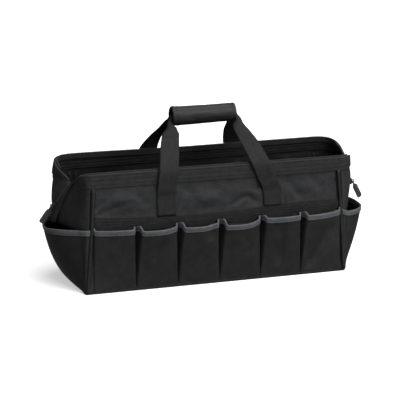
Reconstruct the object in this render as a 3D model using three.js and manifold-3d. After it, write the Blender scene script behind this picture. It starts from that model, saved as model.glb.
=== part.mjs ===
// A soft tool bag with an open zipped mouth, a ring of outside pockets and two webbing handles in one grip.
// Millimetres, +Z up, origin on the floor under the middle of the bag, -Y the front, +X along its length.
import * as THREE from "three";
import { mergeVertices } from "three/addons/utils/BufferGeometryUtils.js";
import Module from "manifold-3d";

// Cloth and clearances
const CLOTH = 1.6;
const POCKET_CLOTH = 1.2;
const BINDING_CLOTH = 1.1;
const HEM_CLOTH = 1.4;
const TAPE = 1.1;
const GAP = 0.4;
const HEM_GAP = 0.85;
const TAIL_GAP = 1;

// Base and mouth
const BASE_HALF_LENGTH = 280;
const BASE_HALF_DEPTH = 97.6;
const BASE_CORNER = 8;
const BASE_THICKNESS = 2.4;
const WALL_FOOT = BASE_THICKNESS + GAP;
const RIM_HEIGHT = 247;
const RIM_DIP = 28;
const FRONT_DIP_POWER = 1.6;
const BACK_DIP_POWER = 2.4;
const HEM_FOOT = 220;
const HEM_LEAST = 7;
const HEM_HEADROOM = 1.4;
const HEM_ROOM = 0.05;
const FOLD_CROWN = 0.6;
const SHOULDER = 0.45;
const SEAM_ROOM = 0.004;
const END_SEAM_ROOM = 0.012;

// Cells of the walls: their number along a long wall, their edges from a ridge to a seam, and their heights
const LONG_CELLS = 16;
const RIDGE_TO_SEAM = [0, 0.08, 0.165, 0.33, 0.5, 0.67, 0.83, 1];
const LONG_ROWS = [0, 0.3, 0.55, 0.67, 0.73, 0.79, 0.86, 1];
const END_ROWS = [0, 0.14, 0.3, 0.45, 0.58, 0.69, 0.76, 0.83, 0.9, 0.95, 0.975, 1];

// The long walls, a row for each height: half depth of the body and half length between its corner seams
const BODY = [
  { z: 0, depth: 95, seam: 277 },
  { z: 60, depth: 91.5, seam: 274 },
  { z: 140, depth: 87, seam: 270.5 },
  { z: 190, depth: 84, seam: 267.3 },
  { z: 250, depth: 80, seam: 263.5 },
];

// The ends, a row for each height: half length along the zip ridge, how far the cloth runs on past a seam
// before it turns, and how far it stands out beside the ridge
const LEFT_END = [
  { z: 0, ridge: 278, frontTurn: 1, frontFull: 0, backTurn: 1, backFull: 0 },
  { z: 60, ridge: 290, frontTurn: 10, frontFull: -3, backTurn: 16, backFull: -3 },
  { z: 110, ridge: 302, frontTurn: 16, frontFull: -8, backTurn: 26, backFull: -7 },
  { z: 140, ridge: 312, frontTurn: 18, frontFull: -13, backTurn: 36, backFull: -8 },
  { z: 166, ridge: 320, frontTurn: 20, frontFull: -16, backTurn: 50, backFull: -4 },
  { z: 190, ridge: 308, frontTurn: 22, frontFull: -9, backTurn: 62, backFull: 12 },
  { z: 219, ridge: 288, frontTurn: 27, frontFull: 1, backTurn: 66, backFull: 27 },
  { z: 250, ridge: 287, frontTurn: 30, frontFull: 4, backTurn: 64, backFull: 27 },
];
const RIGHT_END = [
  { z: 0, ridge: 278, frontTurn: 1, frontFull: 0, backTurn: 1, backFull: 0 },
  { z: 60, ridge: 290, frontTurn: 10, frontFull: -3, backTurn: 12, backFull: -3 },
  { z: 110, ridge: 302, frontTurn: 18, frontFull: -8, backTurn: 20, backFull: -7 },
  { z: 140, ridge: 312, frontTurn: 24, frontFull: -11, backTurn: 28, backFull: -9 },
  { z: 166, ridge: 320, frontTurn: 30, frontFull: -12, backTurn: 38, backFull: -8 },
  { z: 190, ridge: 320, frontTurn: 34, frontFull: -12, backTurn: 46, backFull: -4 },
  { z: 219, ridge: 312, frontTurn: 38, frontFull: -8, backTurn: 54, backFull: 2 },
  { z: 250, ridge: 306, frontTurn: 40, frontFull: -4, backTurn: 58, backFull: 8 },
];

// Soft dents in the long walls above the pockets: place, half size and depth
const DENTS = [
  { x: -200, z: 186, wide: 38, high: 20, deep: 5 },
  { x: -30, z: 196, wide: 60, high: 20, deep: 4 },
  { x: 62, z: 182, wide: 34, high: 16, deep: 5 },
  { x: 190, z: 194, wide: 36, high: 18, deep: 4 },
];

// Outside pockets
const POCKET_FOOT = 4;
const POCKET_TOP = 130;
const POCKET_RISE = 8;
const POCKET_PITCH = 89;
const POCKET_CLEAR = 2.8;
const POCKET_TUCK = 3;
const PLEAT_SLANT = 0.45;
const FACE_SHARE = 0.8;
const FACE_CROWN = 5;
const POCKET_STOPS = [-1, -0.9, -FACE_SHARE, -0.45, 0, 0.45, FACE_SHARE, 0.9, 1];
const POCKET_ROWS = [0, 0.3, 0.6, 0.85, 1];
const BINDING_HEIGHT = 11;
const BINDING_STAND = 1.2;
const BINDING_SHARE = 0.97;
const BINDING_GAP = 0.45;
const END_POCKET_ROUND = 2.8;
const END_POCKET_SWELL = 0.75;
const END_POCKET_LIFT = 2.4;
const END_POCKET_GAP = 0.9;
const END_POCKET_ROWS = [0, 0.07, 0.25, 0.58, 0.8, 0.91, 1];

// The six pockets of a long wall from the photo's left: pleat depth at each side and sag of the mouth
const POCKETS = [
  { left: 5, right: 20, sag: 2 },
  { left: 20, right: 20, sag: 8 },
  { left: 20, right: 20, sag: 8 },
  { left: 20, right: 20, sag: 11 },
  { left: 20, right: 20, sag: 2 },
  { left: 20, right: 5, sag: 4 },
];

// The end pockets: place of the ridge behind them, how far their mouths stand out and sag
const END_POCKETS = [
  { name: "left_end", ridge: 8, reach: 74, sag: 1 },
  { name: "right_end", ridge: 4, reach: 69, sag: 12 },
];

// Trim
const BAND_FOOT = 141.5;
const BAND_TOP = 157;
const BAND_CLOTH = 1;
const BAND_ROOM = 0.02;
const PIPING_RADIUS = 2.6;
const PIPING_SIDES = 6;
const PIPING_ROOM = 0.01;
const PIPING_STEPS = 8;
const ZIP_STAND = 3.5;
const ZIP_DEPTH = 9;
const ZIP_ROOM = 0.3;
const TAIL_FOOT = 0.69;
const TAIL_TOP = 0.95;

// Handles: webbing stations from the sewn left end to the grip, and from the sewn right end to the grip
const WEBBING = 40;
const WEBBING_THICK = 2;
const FOLDED_WEBBING = 15;
const FOLDED_THICK = 3.6;
const FOLDING_WIDTH = 30;
const GRIP_LEFT = -72;
const GRIP_RIGHT = 62;
const GRIP_HEIGHT = 337;
const GRIP_RADIUS = 19.5;
const GRIP_BORE = 14.5;
const GRIP_SIDES = 18;
const GRIP_ENTRY = 8;
const GRIP_INSIDE = 4;
const ENTRY_SPREAD = 9;
const ENTRY_HEIGHT = 331;
const GRIP_ROUND = 5;
const GRIP_END_RADIUS = 16.5;
const GRIP_WAIST_RADIUS = 18.5;
const STRAP_SPREAD = 4;
const FRONT_LEGS = {
  left: [
    { x: -110, out: 2.4, z: 158, width: WEBBING },
    { x: -110, out: 2.4, z: 186, width: WEBBING },
    { x: -109, out: 5.6, z: 214, width: WEBBING },
    { x: -105, out: 6.8, z: 248, width: WEBBING },
    { x: -96, out: -22, z: 285, width: WEBBING },
    { x: -89, out: -46, z: 310, width: 39 },
    { x: -86, out: -59, z: 320, width: 27 },
  ],
  right: [
    { x: 119, out: 2.4, z: 158, width: WEBBING },
    { x: 117, out: 2.4, z: 186, width: WEBBING },
    { x: 105, out: 5.6, z: 214, width: WEBBING },
    { x: 91, out: 6.8, z: 248, width: WEBBING },
    { x: 77, out: -22, z: 285, width: 38 },
    { x: 67, out: -46, z: 308, width: 31 },
    { x: 66, out: -56, z: 319, width: 23 },
  ],
};
const BACK_LEGS = {
  left: [
    { x: -112, out: 2.4, z: 158, width: WEBBING },
    { x: -111, out: 2.4, z: 186, width: WEBBING },
    { x: -107, out: 5.6, z: 214, width: WEBBING },
    { x: -100, out: 6.8, z: 248, width: WEBBING },
    { x: -88, out: -22, z: 285, width: 37 },
    { x: -79, out: -46, z: 308, width: 29 },
    { x: -78, out: -56, z: 319, width: 22 },
  ],
  right: [
    { x: 114, out: 2.4, z: 158, width: WEBBING },
    { x: 112, out: 2.4, z: 186, width: WEBBING },
    { x: 100, out: 5.6, z: 214, width: WEBBING },
    { x: 87, out: 6.8, z: 248, width: WEBBING },
    { x: 78, out: -22, z: 285, width: WEBBING },
    { x: 74, out: -46, z: 308, width: 34 },
    { x: 71, out: -56, z: 319, width: 24 },
  ],
};

// Zip slider with its bail, and the pull tab whose top bar lies in the bail
const SLIDER_HEIGHT = 166;
const SLIDER_LONG = 13;
const SLIDER_WIDE = 9;
const SLIDER_NARROW = 5.4;
const SLIDER_THICK = 4;
const BAIL_LONG = 9;
const BAIL_WIDE = 3;
const BAIL_WIRE = 1.6;
const BAIL_ROOM = 4;
const PULL_LONG = 41;
const PULL_WIDE = 12;
const PULL_NECK = 9;
const PULL_SHOULDER = 8.4;
const PULL_THICK = 2;
const PULL_BAR = 1.1;
const PULL_EYE_END = 6.6;
const PULL_EYE_HALF = 2.3;
const PULL_SLANT = THREE.MathUtils.degToRad(31.3);

const FINISHES = {
  cloth: { color: 0x202124, roughness: 0.85, metalness: 0 },
  webbing: { color: 0x1c1c1e, roughness: 0.9, metalness: 0 },
  binding: { color: 0x5b5d63, roughness: 0.75, metalness: 0 },
  tape: { color: 0x2a2b2e, roughness: 0.8, metalness: 0 },
  metal: { color: 0x6d6e70, roughness: 0.4, metalness: 0.8 },
};

const bag = new THREE.Group();

function addPiece(name, geometry, finish) {
  const piece = new THREE.Mesh(geometry, new THREE.MeshStandardMaterial(FINISHES[finish]));
  piece.name = name;
  bag.add(piece);
  return piece;
}

// Evenly spaced stops from one value to another
function stops(from, to, count) {
  return Array.from({ length: count + 1 }, (_, i) => from + ((to - from) * i) / count);
}

// A table's row at a height, smooth between the rows that it holds
function rowsAlong(table) {
  const columns = Object.keys(table[0]).slice(1);
  const curve = new THREE.CubicInterpolant(
    table.map((row) => row.z),
    Float64Array.from(table.flatMap((row) => columns.map((column) => row[column]))),
    columns.length,
  );
  return (z) => {
    const values = curve.evaluate(z);
    return Object.fromEntries(columns.map((column, i) => [column, values[i]]));
  };
}
const section = rowsAlong(BODY);
const leftEnd = rowsAlong(LEFT_END);
const rightEnd = rowsAlong(RIGHT_END);

function dentAt(x, z) {
  let depth = 0;
  for (const dent of DENTS) {
    const away = ((x - dent.x) / dent.wide) ** 2 + ((z - dent.z) / dent.high) ** 2;
    depth += dent.deep * Math.exp(-2 * away);
  }
  return depth;
}

// The body's wall. Place 0 is the left zip ridge, 1 and 3 the front seams, 4 the right ridge,
// and 5 and 7 the back seams.
function wallPoint(place, z) {
  const around = THREE.MathUtils.euclideanModulo(place, 8);
  const side = around < 4 ? -1 : 1;
  const walk = around < 4 ? around - 2 : 6 - around;
  const at = section(z);
  const way = Math.abs(walk) - 1;
  if (way <= 0) {
    const x = walk * at.seam;
    return new THREE.Vector3(x, side * (at.depth - dentAt(x, z)), z);
  }
  const end = walk < 0 ? leftEnd(z) : rightEnd(z);
  const turn = side < 0 ? end.frontTurn : end.backTurn;
  const full = side < 0 ? end.frontFull : end.backFull;
  const bend = new THREE.CubicBezierCurve(
    new THREE.Vector2(at.seam, at.depth),
    new THREE.Vector2(at.seam + turn, at.depth),
    new THREE.Vector2(end.ridge + full, at.depth * SHOULDER),
    new THREE.Vector2(end.ridge, 0),
  );
  const point = bend.getPoint(way);
  return new THREE.Vector3(Math.sign(walk) * point.x, side * point.y, z);
}

// The mouth's edge dips towards the zip ridge at each end, later at the back, where the corners stand up
function rimAt(place) {
  const around = THREE.MathUtils.euclideanModulo(place, 8);
  const walk = around < 4 ? around - 2 : 6 - around;
  const way = Math.max(Math.abs(walk) - 1, 0);
  return RIM_HEIGHT - RIM_DIP * way ** (around < 4 ? FRONT_DIP_POWER : BACK_DIP_POWER);
}

function normalAt(surface, across, up) {
  const step = 1e-3;
  const along = surface(across + step, up).sub(surface(across - step, up));
  const rise = surface(across, up + step).sub(surface(across, up - step));
  return along.cross(rise).normalize();
}

// A surface carried outwards by a distance
function layer(surface, distance) {
  return (across, up) => surface(across, up).addScaledVector(normalAt(surface, across, up), distance);
}

// Splits the cells of both faces along the same diagonals, so that a twisted wall keeps its thickness
function matchDiagonals(cells) {
  const back = cells.groups.at(-1);
  const corners = cells.index;
  for (let i = back.start; i < back.start + back.count; i += 6) {
    const [a, b, d, , c] = [0, 1, 2, 3, 4].map((k) => corners.getX(i + k));
    [a, b, c, a, c, d].forEach((corner, k) => corners.setX(i + k, corner));
  }
}

// A closed wall of cells: each corner is put across and up the wall and half its thickness to one side
function cellWall(placeAt, across, up, thickness) {
  const cells = new THREE.BoxGeometry(1, 1, 1, across.length - 1, up.length - 1, 1);
  matchDiagonals(cells);
  cells.deleteAttribute("normal");
  cells.deleteAttribute("uv");
  const wall = mergeVertices(cells);
  const corners = wall.attributes.position;
  for (let i = 0; i < corners.count; i++) {
    const a = across[Math.round((corners.getX(i) + 0.5) * (across.length - 1))];
    const b = up[Math.round((corners.getY(i) + 0.5) * (up.length - 1))];
    const thick = typeof thickness === "function" ? thickness(a) : thickness;
    const point = placeAt(a, b, thick * corners.getZ(i));
    corners.setXYZ(i, point.x, point.y, point.z);
  }
  return wall;
}

// A cloth wall laid on a surface, or carried outwards from it by a distance
function clothWall(surface, across, up, thickness, distance = 0) {
  const placeAt = (a, b, aside) => layer(surface, distance + aside)(a, b);
  return cellWall(placeAt, across, up, thickness);
}

// Walls of the body: up runs from 0 at the base to 1 just under the mouth's edge
function bodyWall(place, up) {
  const top = rimAt(place) - HEM_HEADROOM;
  return wallPoint(place, WALL_FOOT + (top - WALL_FOOT) * up);
}
const frontStops = stops(1 + SEAM_ROOM, 3 - SEAM_ROOM, LONG_CELLS);
const backStops = stops(5 + SEAM_ROOM, 7 - SEAM_ROOM, LONG_CELLS);
const ridgeToSeam = RIDGE_TO_SEAM.map((share) => share * (1 - END_SEAM_ROOM));
const seamToSeam = [...ridgeToSeam.slice(1).map((step) => -step).reverse(), ...ridgeToSeam];
const rightStops = seamToSeam.map((step) => 4 + step);
const leftStops = seamToSeam.map((step) => 8 + step);
addPiece("front_panel", clothWall(bodyWall, frontStops, LONG_ROWS, CLOTH), "cloth");
addPiece("back_panel", clothWall(bodyWall, backStops, LONG_ROWS, CLOTH), "cloth");
addPiece("right_end_panel", clothWall(bodyWall, rightStops, END_ROWS, CLOTH), "cloth");
addPiece("left_end_panel", clothWall(bodyWall, leftStops, END_ROWS, CLOTH), "cloth");

// The base is a flat plate of stiff cloth with round corners, and the walls stand on it
function basePlate() {
  const x = BASE_HALF_LENGTH - BASE_CORNER;
  const y = BASE_HALF_DEPTH - BASE_CORNER;
  const outline = new THREE.Shape();
  outline.absarc(x, y, BASE_CORNER, 0, Math.PI / 2);
  outline.absarc(-x, y, BASE_CORNER, Math.PI / 2, Math.PI);
  outline.absarc(-x, -y, BASE_CORNER, Math.PI, 1.5 * Math.PI);
  outline.absarc(x, -y, BASE_CORNER, 1.5 * Math.PI, 2 * Math.PI);
  return new THREE.ExtrudeGeometry(outline, { depth: BASE_THICKNESS, bevelEnabled: false, curveSegments: 4 });
}
addPiece("base_panel", basePlate(), "cloth");

// Stitched bands between the pockets and the upper walls, short of the piping
const bandOut = (CLOTH + BAND_CLOTH) / 2 + GAP;
const bandStops = (wall) => [wall[0] + BAND_ROOM, ...wall.slice(1, -1), wall.at(-1) - BAND_ROOM];
for (const [name, wall] of [["front", frontStops], ["back", backStops]]) {
  const band = clothWall(wallPoint, bandStops(wall), [BAND_FOOT, BAND_TOP], BAND_CLOTH, bandOut);
  addPiece(name + "_band", band, "cloth");
}

// A folded edge of cloth, from its outer foot over the top to its inner foot: which side of the cloth that it
// encloses a row lies on, and whether it is at the fold's foot, top or crown
const FOLD = [
  { aside: 1, height: 0, crown: 0 },
  { aside: 1, height: 1, crown: 0 },
  { aside: 0, height: 1, crown: 1 },
  { aside: -1, height: 1, crown: 0 },
  { aside: -1, height: 0, crown: 0 },
];
function foldedEdge(surface, heightAt, across, half, thickness) {
  const placeAt = (a, row, out) => {
    const fold = FOLD[row];
    const up = heightAt(a, fold.height);
    const point = surface(a, up).addScaledVector(normalAt(surface, a, up), fold.aside * (half + out));
    point.z += fold.crown * (half * FOLD_CROWN + out);
    return point;
  };
  return cellWall(placeAt, across, [...FOLD.keys()], thickness);
}

// Hems of the mouth, from one zip ridge along a long wall to the other
const hemHalf = (CLOTH + HEM_CLOTH) / 2 + HEM_GAP;
const hemFoot = (place) => Math.min(HEM_FOOT, rimAt(place) - HEM_LEAST);
const hemHeight = (place, share) => THREE.MathUtils.lerp(hemFoot(place), rimAt(place), share);
const cornerStops = ridgeToSeam.filter((step) => step > HEM_ROOM);
const hemStops = (from) => [
  from + HEM_ROOM,
  ...cornerStops.map((step) => from + step),
  ...frontStops.map((place) => from + place),
  ...cornerStops.map((step) => from + 4 - step).reverse(),
  from + 4 - HEM_ROOM,
];
for (const [name, from] of [["front", 0], ["back", 4]]) {
  addPiece(name + "_hem", foldedEdge(wallPoint, hemHeight, hemStops(from), hemHalf, HEM_CLOTH), "cloth");
}

// Zip tapes inside the hems, standing a little above them
const tapeIn = hemHalf + (HEM_CLOTH + TAPE) / 2 + GAP;
const tapeWall = (place, up) => wallPoint(place, rimAt(place) - ZIP_DEPTH + (ZIP_DEPTH + ZIP_STAND) * up);
const tapeStops = (from) => hemStops(from).filter((at) => at > from + ZIP_ROOM && at < from + 4 - ZIP_ROOM);
addPiece("front_zip_tape", clothWall(tapeWall, tapeStops(0), [0, 1], TAPE, -tapeIn), "tape");
addPiece("back_zip_tape", clothWall(tapeWall, tapeStops(4), [0, 1], TAPE, -tapeIn), "tape");

// Zip tails down the ridge of each end, as wide as the wall's cells on both sides of it
const tailOut = (CLOTH + TAPE) / 2 + TAIL_GAP;
const tailRows = END_ROWS.filter((up) => up >= TAIL_FOOT && up <= TAIL_TOP);
const tailHalf = ridgeToSeam[1];
for (const [name, ridge] of [["left", 8], ["right", 4]]) {
  const beside = [ridge - tailHalf, ridge, ridge + tailHalf];
  addPiece(name + "_zip_tail", clothWall(bodyWall, beside, tailRows, TAPE, tailOut), "tape");
}

// Corded piping up the four corner seams
function pipingRun(place) {
  const middle = layer(wallPoint, CLOTH / 2 + GAP + PIPING_RADIUS);
  const points = stops(WALL_FOOT + 1, HEM_FOOT - 2, PIPING_STEPS).map((z) => middle(place, z));
  const around = new THREE.Shape();
  around.absarc(0, 0, PIPING_RADIUS, 0, 2 * Math.PI);
  return new THREE.ExtrudeGeometry(around, {
    steps: PIPING_STEPS,
    curveSegments: PIPING_SIDES / 2,
    extrudePath: new THREE.CatmullRomCurve3(points),
  });
}
const CORNERS = {
  front_left: 1 + PIPING_ROOM,
  front_right: 3 - PIPING_ROOM,
  back_right: 5 + PIPING_ROOM,
  back_left: 7 - PIPING_ROOM,
};
for (const [corner, place] of Object.entries(CORNERS)) addPiece(corner + "_piping", pipingRun(place), "cloth");

// A pocket of a long wall: across runs from -1 to 1, the pleated sides outside the face's share of it
function pocketSheet(side, row, middle) {
  const half = POCKET_PITCH / 2 - POCKET_CLEAR;
  const rest = (CLOTH + POCKET_CLOTH) / 2 + GAP;
  return (across, up) => {
    const edge = Math.abs(across);
    const onFace = Math.min(edge / FACE_SHARE, 1) * Math.sign(across);
    const lift = Math.max(edge - FACE_SHARE, 0) / (1 - FACE_SHARE);
    const pleat = (onFace < 0 ? row.left : row.right) * up;
    const mean = THREE.MathUtils.lerp(row.left, row.right, (onFace + 1) / 2) * up;
    const tuck = POCKET_TUCK + PLEAT_SLANT * pleat;
    const x = edge <= FACE_SHARE ? onFace * (half - tuck) : Math.sign(across) * (half - tuck * (1 - lift));
    const out = edge <= FACE_SHARE ? mean + FACE_CROWN * up * (1 - onFace ** 2) : pleat * (1 - lift);
    const top = POCKET_TOP + POCKET_RISE * lift - row.sag * (1 - onFace ** 4);
    const z = POCKET_FOOT + (top - POCKET_FOOT) * up;
    return new THREE.Vector3(middle - side * x, side * (section(z).depth + rest + out), z);
  };
}

// A pocket and the binding folded over its top edge
const bindingHalf = (POCKET_CLOTH + BINDING_CLOTH) / 2 + BINDING_GAP;
const bindingHeight = (_, share) => {
  return 1 + (BINDING_STAND - BINDING_HEIGHT * (1 - share)) / (POCKET_TOP - POCKET_FOOT);
};
function addPocket(wall, label, sheet, across, rows, bound) {
  addPiece(`${wall}_pocket${label}`, clothWall(sheet, across, rows, POCKET_CLOTH), "cloth");
  const within = across.map((stop) => THREE.MathUtils.clamp(stop, -bound, bound));
  const edge = foldedEdge(sheet, bindingHeight, within, bindingHalf, BINDING_CLOTH);
  addPiece(`${wall}_binding${label}`, edge, "binding");
}
for (const [wall, side] of [["front", -1], ["back", 1]]) {
  POCKETS.forEach((row, i) => {
    const middle = (i - (POCKETS.length - 1) / 2) * POCKET_PITCH;
    const turned = side < 0 ? row : { left: row.right, right: row.left, sag: row.sag };
    addPocket(wall, `_${i + 1}`, pocketSheet(side, turned, middle), POCKET_STOPS, POCKET_ROWS, BINDING_SHARE);
  });
}

// A pocket round each end, from one corner seam to the other, its mouth standing out along the bag's length
function endPocketSheet(row) {
  const rest = (CLOTH + POCKET_CLOTH) / 2 + END_POCKET_GAP;
  return (across, up) => {
    const rise = Math.max(up, 0);
    const top = POCKET_TOP - row.sag * (1 - across ** 4);
    const z = POCKET_FOOT + (top - POCKET_FOOT) * up;
    const lifted = layer(wallPoint, rest + END_POCKET_LIFT * Math.sqrt(rise));
    const point = lifted(row.ridge + across, z);
    const at = section(z);
    const mouth = at.seam + row.reach * (1 - Math.abs(point.y / at.depth) ** END_POCKET_ROUND);
    point.x += Math.sign(point.x) * Math.max(mouth - Math.abs(point.x), 0) * rise ** END_POCKET_SWELL;
    return point;
  };
}
const endPocketStops = seamToSeam.filter((step) => Math.abs(step) !== tailHalf);
for (const row of END_POCKETS) {
  addPocket(row.name, "", endPocketSheet(row), endPocketStops, END_POCKET_ROWS, 1);
}

// A webbing handle: flat legs that fold lengthwise and turn into the grip, as stations along its middle line
function strapStations(legs, side) {
  const legStation = (row, across) => ({
    middle: new THREE.Vector3(row.x, side * (section(row.z).depth + row.out), row.z),
    across: new THREE.Vector3(across, 0, 0),
    width: row.width,
    thick: row.width < FOLDING_WIDTH ? FOLDED_THICK : WEBBING_THICK,
  });
  const gripStation = (x, spread, z, lean) => ({
    middle: new THREE.Vector3(x, side * spread, z),
    across: new THREE.Vector3(lean, 0, -1).normalize(),
    width: FOLDED_WEBBING,
    thick: FOLDED_THICK,
  });
  const inside = (x) => gripStation(x, STRAP_SPREAD, GRIP_HEIGHT, 0);
  return [
    ...legs.left.map((row) => legStation(row, 1)),
    gripStation(GRIP_LEFT - GRIP_ENTRY, ENTRY_SPREAD, ENTRY_HEIGHT, 1),
    inside(GRIP_LEFT + GRIP_INSIDE),
    inside((GRIP_LEFT + GRIP_RIGHT) / 2),
    inside(GRIP_RIGHT - GRIP_INSIDE),
    gripStation(GRIP_RIGHT + GRIP_ENTRY, ENTRY_SPREAD, ENTRY_HEIGHT, -1),
    ...legs.right.map((row) => legStation(row, -1)).reverse(),
  ];
}
function strapLoop(legs, side) {
  const rows = strapStations(legs, side);
  const middles = new THREE.CatmullRomCurve3(rows.map((row) => row.middle), false, "centripetal");
  const last = rows.length - 1;
  const surface = (along, up) => {
    const i = Math.min(Math.max(Math.floor(along), 0), last - 1);
    const share = along - i;
    const across = rows[i].across.clone().lerp(rows[i + 1].across, share).normalize();
    const width = THREE.MathUtils.lerp(rows[i].width, rows[i + 1].width, share);
    const middle = middles.getPoint(THREE.MathUtils.clamp(along / last, 0, 1));
    return middle.addScaledVector(across, width * (0.5 - up));
  };
  const thickness = (along) => rows[Math.round(along)].thick;
  return clothWall(surface, stops(0, last, last), [0, 0.5, 1], thickness);
}
addPiece("front_strap", strapLoop(FRONT_LEGS, -1), "webbing");
addPiece("back_strap", strapLoop(BACK_LEGS, 1), "webbing");

// The grip is a padded tube round both handles
function gripTube() {
  const half = (GRIP_RIGHT - GRIP_LEFT) / 2;
  const profile = [
    { radius: GRIP_BORE, along: -half },
    { radius: GRIP_END_RADIUS, along: -half },
    { radius: GRIP_RADIUS, along: GRIP_ROUND - half },
    { radius: GRIP_WAIST_RADIUS, along: 0 },
    { radius: GRIP_RADIUS, along: half - GRIP_ROUND },
    { radius: GRIP_END_RADIUS, along: half },
    { radius: GRIP_BORE, along: half },
    { radius: GRIP_BORE, along: -half },
  ].map((row) => new THREE.Vector2(row.radius, row.along));
  const tube = new THREE.LatheGeometry(profile, GRIP_SIDES);
  tube.rotateZ(-Math.PI / 2);
  return tube.translate((GRIP_LEFT + GRIP_RIGHT) / 2, 0, GRIP_HEIGHT);
}
addPiece("grip", gripTube(), "cloth");

// Two closed shapes joined into one solid
const wasm = await Module();
wasm.setup();
function solidOf(geometry) {
  const bare = new THREE.BufferGeometry().setAttribute("position", geometry.getAttribute("position"));
  const merged = mergeVertices(bare.setIndex(geometry.index), 1e-3);
  const triVerts = new Uint32Array(merged.index.array);
  return new wasm.Manifold(
    new wasm.Mesh({ numProp: 3, vertProperties: merged.attributes.position.array, triVerts }),
  );
}
function joined(first, second) {
  const mesh = solidOf(first).add(solidOf(second)).getMesh();
  return new THREE.BufferGeometry()
    .setAttribute("position", new THREE.BufferAttribute(mesh.vertProperties, 3))
    .setIndex(new THREE.BufferAttribute(mesh.triVerts, 1));
}

// A slider on each zip tail: a wedge, wide towards the open mouth, with an arched bail on its face
function sliderWithBail() {
  const long = SLIDER_LONG / 2;
  const wedge = new THREE.Shape([
    new THREE.Vector2(-SLIDER_NARROW / 2, -long),
    new THREE.Vector2(SLIDER_NARROW / 2, -long),
    new THREE.Vector2(SLIDER_WIDE / 2, 0),
    new THREE.Vector2(SLIDER_WIDE / 2, long),
    new THREE.Vector2(-SLIDER_WIDE / 2, long),
    new THREE.Vector2(-SLIDER_WIDE / 2, 0),
  ]);
  const body = new THREE.ExtrudeGeometry(wedge, { depth: SLIDER_THICK, bevelEnabled: false });
  const half = BAIL_LONG / 2;
  const root = SLIDER_THICK - 1;
  const inner = SLIDER_THICK + BAIL_ROOM;
  const arch = new THREE.Shape([
    new THREE.Vector2(-half, root),
    new THREE.Vector2(BAIL_WIRE - half, root),
    new THREE.Vector2(BAIL_WIRE - half, inner),
    new THREE.Vector2(half - BAIL_WIRE, inner),
    new THREE.Vector2(half - BAIL_WIRE, root),
    new THREE.Vector2(half, root),
    new THREE.Vector2(half, inner),
    new THREE.Vector2(half - BAIL_WIRE, inner + BAIL_WIRE),
    new THREE.Vector2(BAIL_WIRE - half, inner + BAIL_WIRE),
    new THREE.Vector2(-half, inner),
  ]);
  const bail = new THREE.ExtrudeGeometry(arch, { depth: BAIL_WIDE, bevelEnabled: false });
  bail.translate(0, 0, -BAIL_WIDE / 2);
  const toFace = new THREE.Matrix4().makeBasis(
    new THREE.Vector3(0, 1, 0),
    new THREE.Vector3(0, 0, 1),
    new THREE.Vector3(1, 0, 0),
  );
  return joined(body, bail.applyMatrix4(toFace));
}

// A pull tab drawn downwards from its top bar, with the eye that the bail passes through
function pullTab() {
  const tab = new THREE.Shape();
  tab.moveTo(-PULL_NECK / 2, PULL_BAR);
  tab.lineTo(-PULL_NECK / 2, -PULL_SHOULDER);
  tab.lineTo(-PULL_WIDE / 2, -PULL_WIDE);
  tab.lineTo(-PULL_WIDE / 2, PULL_WIDE / 3 - PULL_LONG);
  tab.quadraticCurveTo(-PULL_WIDE / 2, -PULL_LONG, 0, -PULL_LONG);
  tab.quadraticCurveTo(PULL_WIDE / 2, -PULL_LONG, PULL_WIDE / 2, PULL_WIDE / 3 - PULL_LONG);
  tab.lineTo(PULL_WIDE / 2, -PULL_WIDE);
  tab.lineTo(PULL_NECK / 2, -PULL_SHOULDER);
  tab.lineTo(PULL_NECK / 2, PULL_BAR);
  tab.closePath();
  const eye = new THREE.Path();
  eye.moveTo(-PULL_EYE_HALF, -PULL_BAR);
  eye.lineTo(PULL_EYE_HALF, -PULL_BAR);
  eye.lineTo(PULL_EYE_HALF, -PULL_EYE_END);
  eye.lineTo(-PULL_EYE_HALF, -PULL_EYE_END);
  eye.closePath();
  tab.holes.push(eye);
  const plate = new THREE.ExtrudeGeometry(tab, { depth: PULL_THICK, bevelEnabled: false, curveSegments: 5 });
  return plate.translate(0, 0, -PULL_THICK / 2).rotateX(-PULL_SLANT);
}

// Both ends carry the same slider and pull, each turned to face outwards
const sliderSeat = leftEnd(SLIDER_HEIGHT).ridge + CLOTH / 2 + TAIL_GAP + TAPE + GAP;
for (const [name, end] of [["left", -1], ["right", 1]]) {
  const faceOut = new THREE.Matrix4().makeBasis(
    new THREE.Vector3(0, end, 0),
    new THREE.Vector3(0, 0, 1),
    new THREE.Vector3(end, 0, 0),
  );
  const slider = addPiece(name + "_slider", sliderWithBail().applyMatrix4(faceOut), "metal");
  slider.position.set(end * sliderSeat, 0, SLIDER_HEIGHT);
  const pull = addPiece(name + "_pull", pullTab().applyMatrix4(faceOut), "metal");
  pull.position.set(end * (sliderSeat + SLIDER_THICK + BAIL_ROOM / 2), 0, SLIDER_HEIGHT);
}

export default bag;
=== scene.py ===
import math
from bisect import bisect_right

import bmesh
import bpy
from mathutils import Matrix, Vector, noise


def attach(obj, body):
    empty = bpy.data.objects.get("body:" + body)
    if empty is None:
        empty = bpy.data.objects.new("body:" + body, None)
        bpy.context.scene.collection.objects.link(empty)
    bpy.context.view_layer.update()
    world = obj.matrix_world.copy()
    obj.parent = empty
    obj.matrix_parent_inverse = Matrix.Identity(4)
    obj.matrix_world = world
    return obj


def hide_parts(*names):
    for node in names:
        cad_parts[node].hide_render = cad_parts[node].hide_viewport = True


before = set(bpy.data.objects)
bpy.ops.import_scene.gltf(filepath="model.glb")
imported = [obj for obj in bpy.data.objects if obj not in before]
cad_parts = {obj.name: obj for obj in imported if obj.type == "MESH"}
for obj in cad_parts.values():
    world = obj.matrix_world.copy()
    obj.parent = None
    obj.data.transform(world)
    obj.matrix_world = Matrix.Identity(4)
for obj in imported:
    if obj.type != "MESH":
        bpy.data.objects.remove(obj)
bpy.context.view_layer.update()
scene = bpy.context.scene


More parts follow.
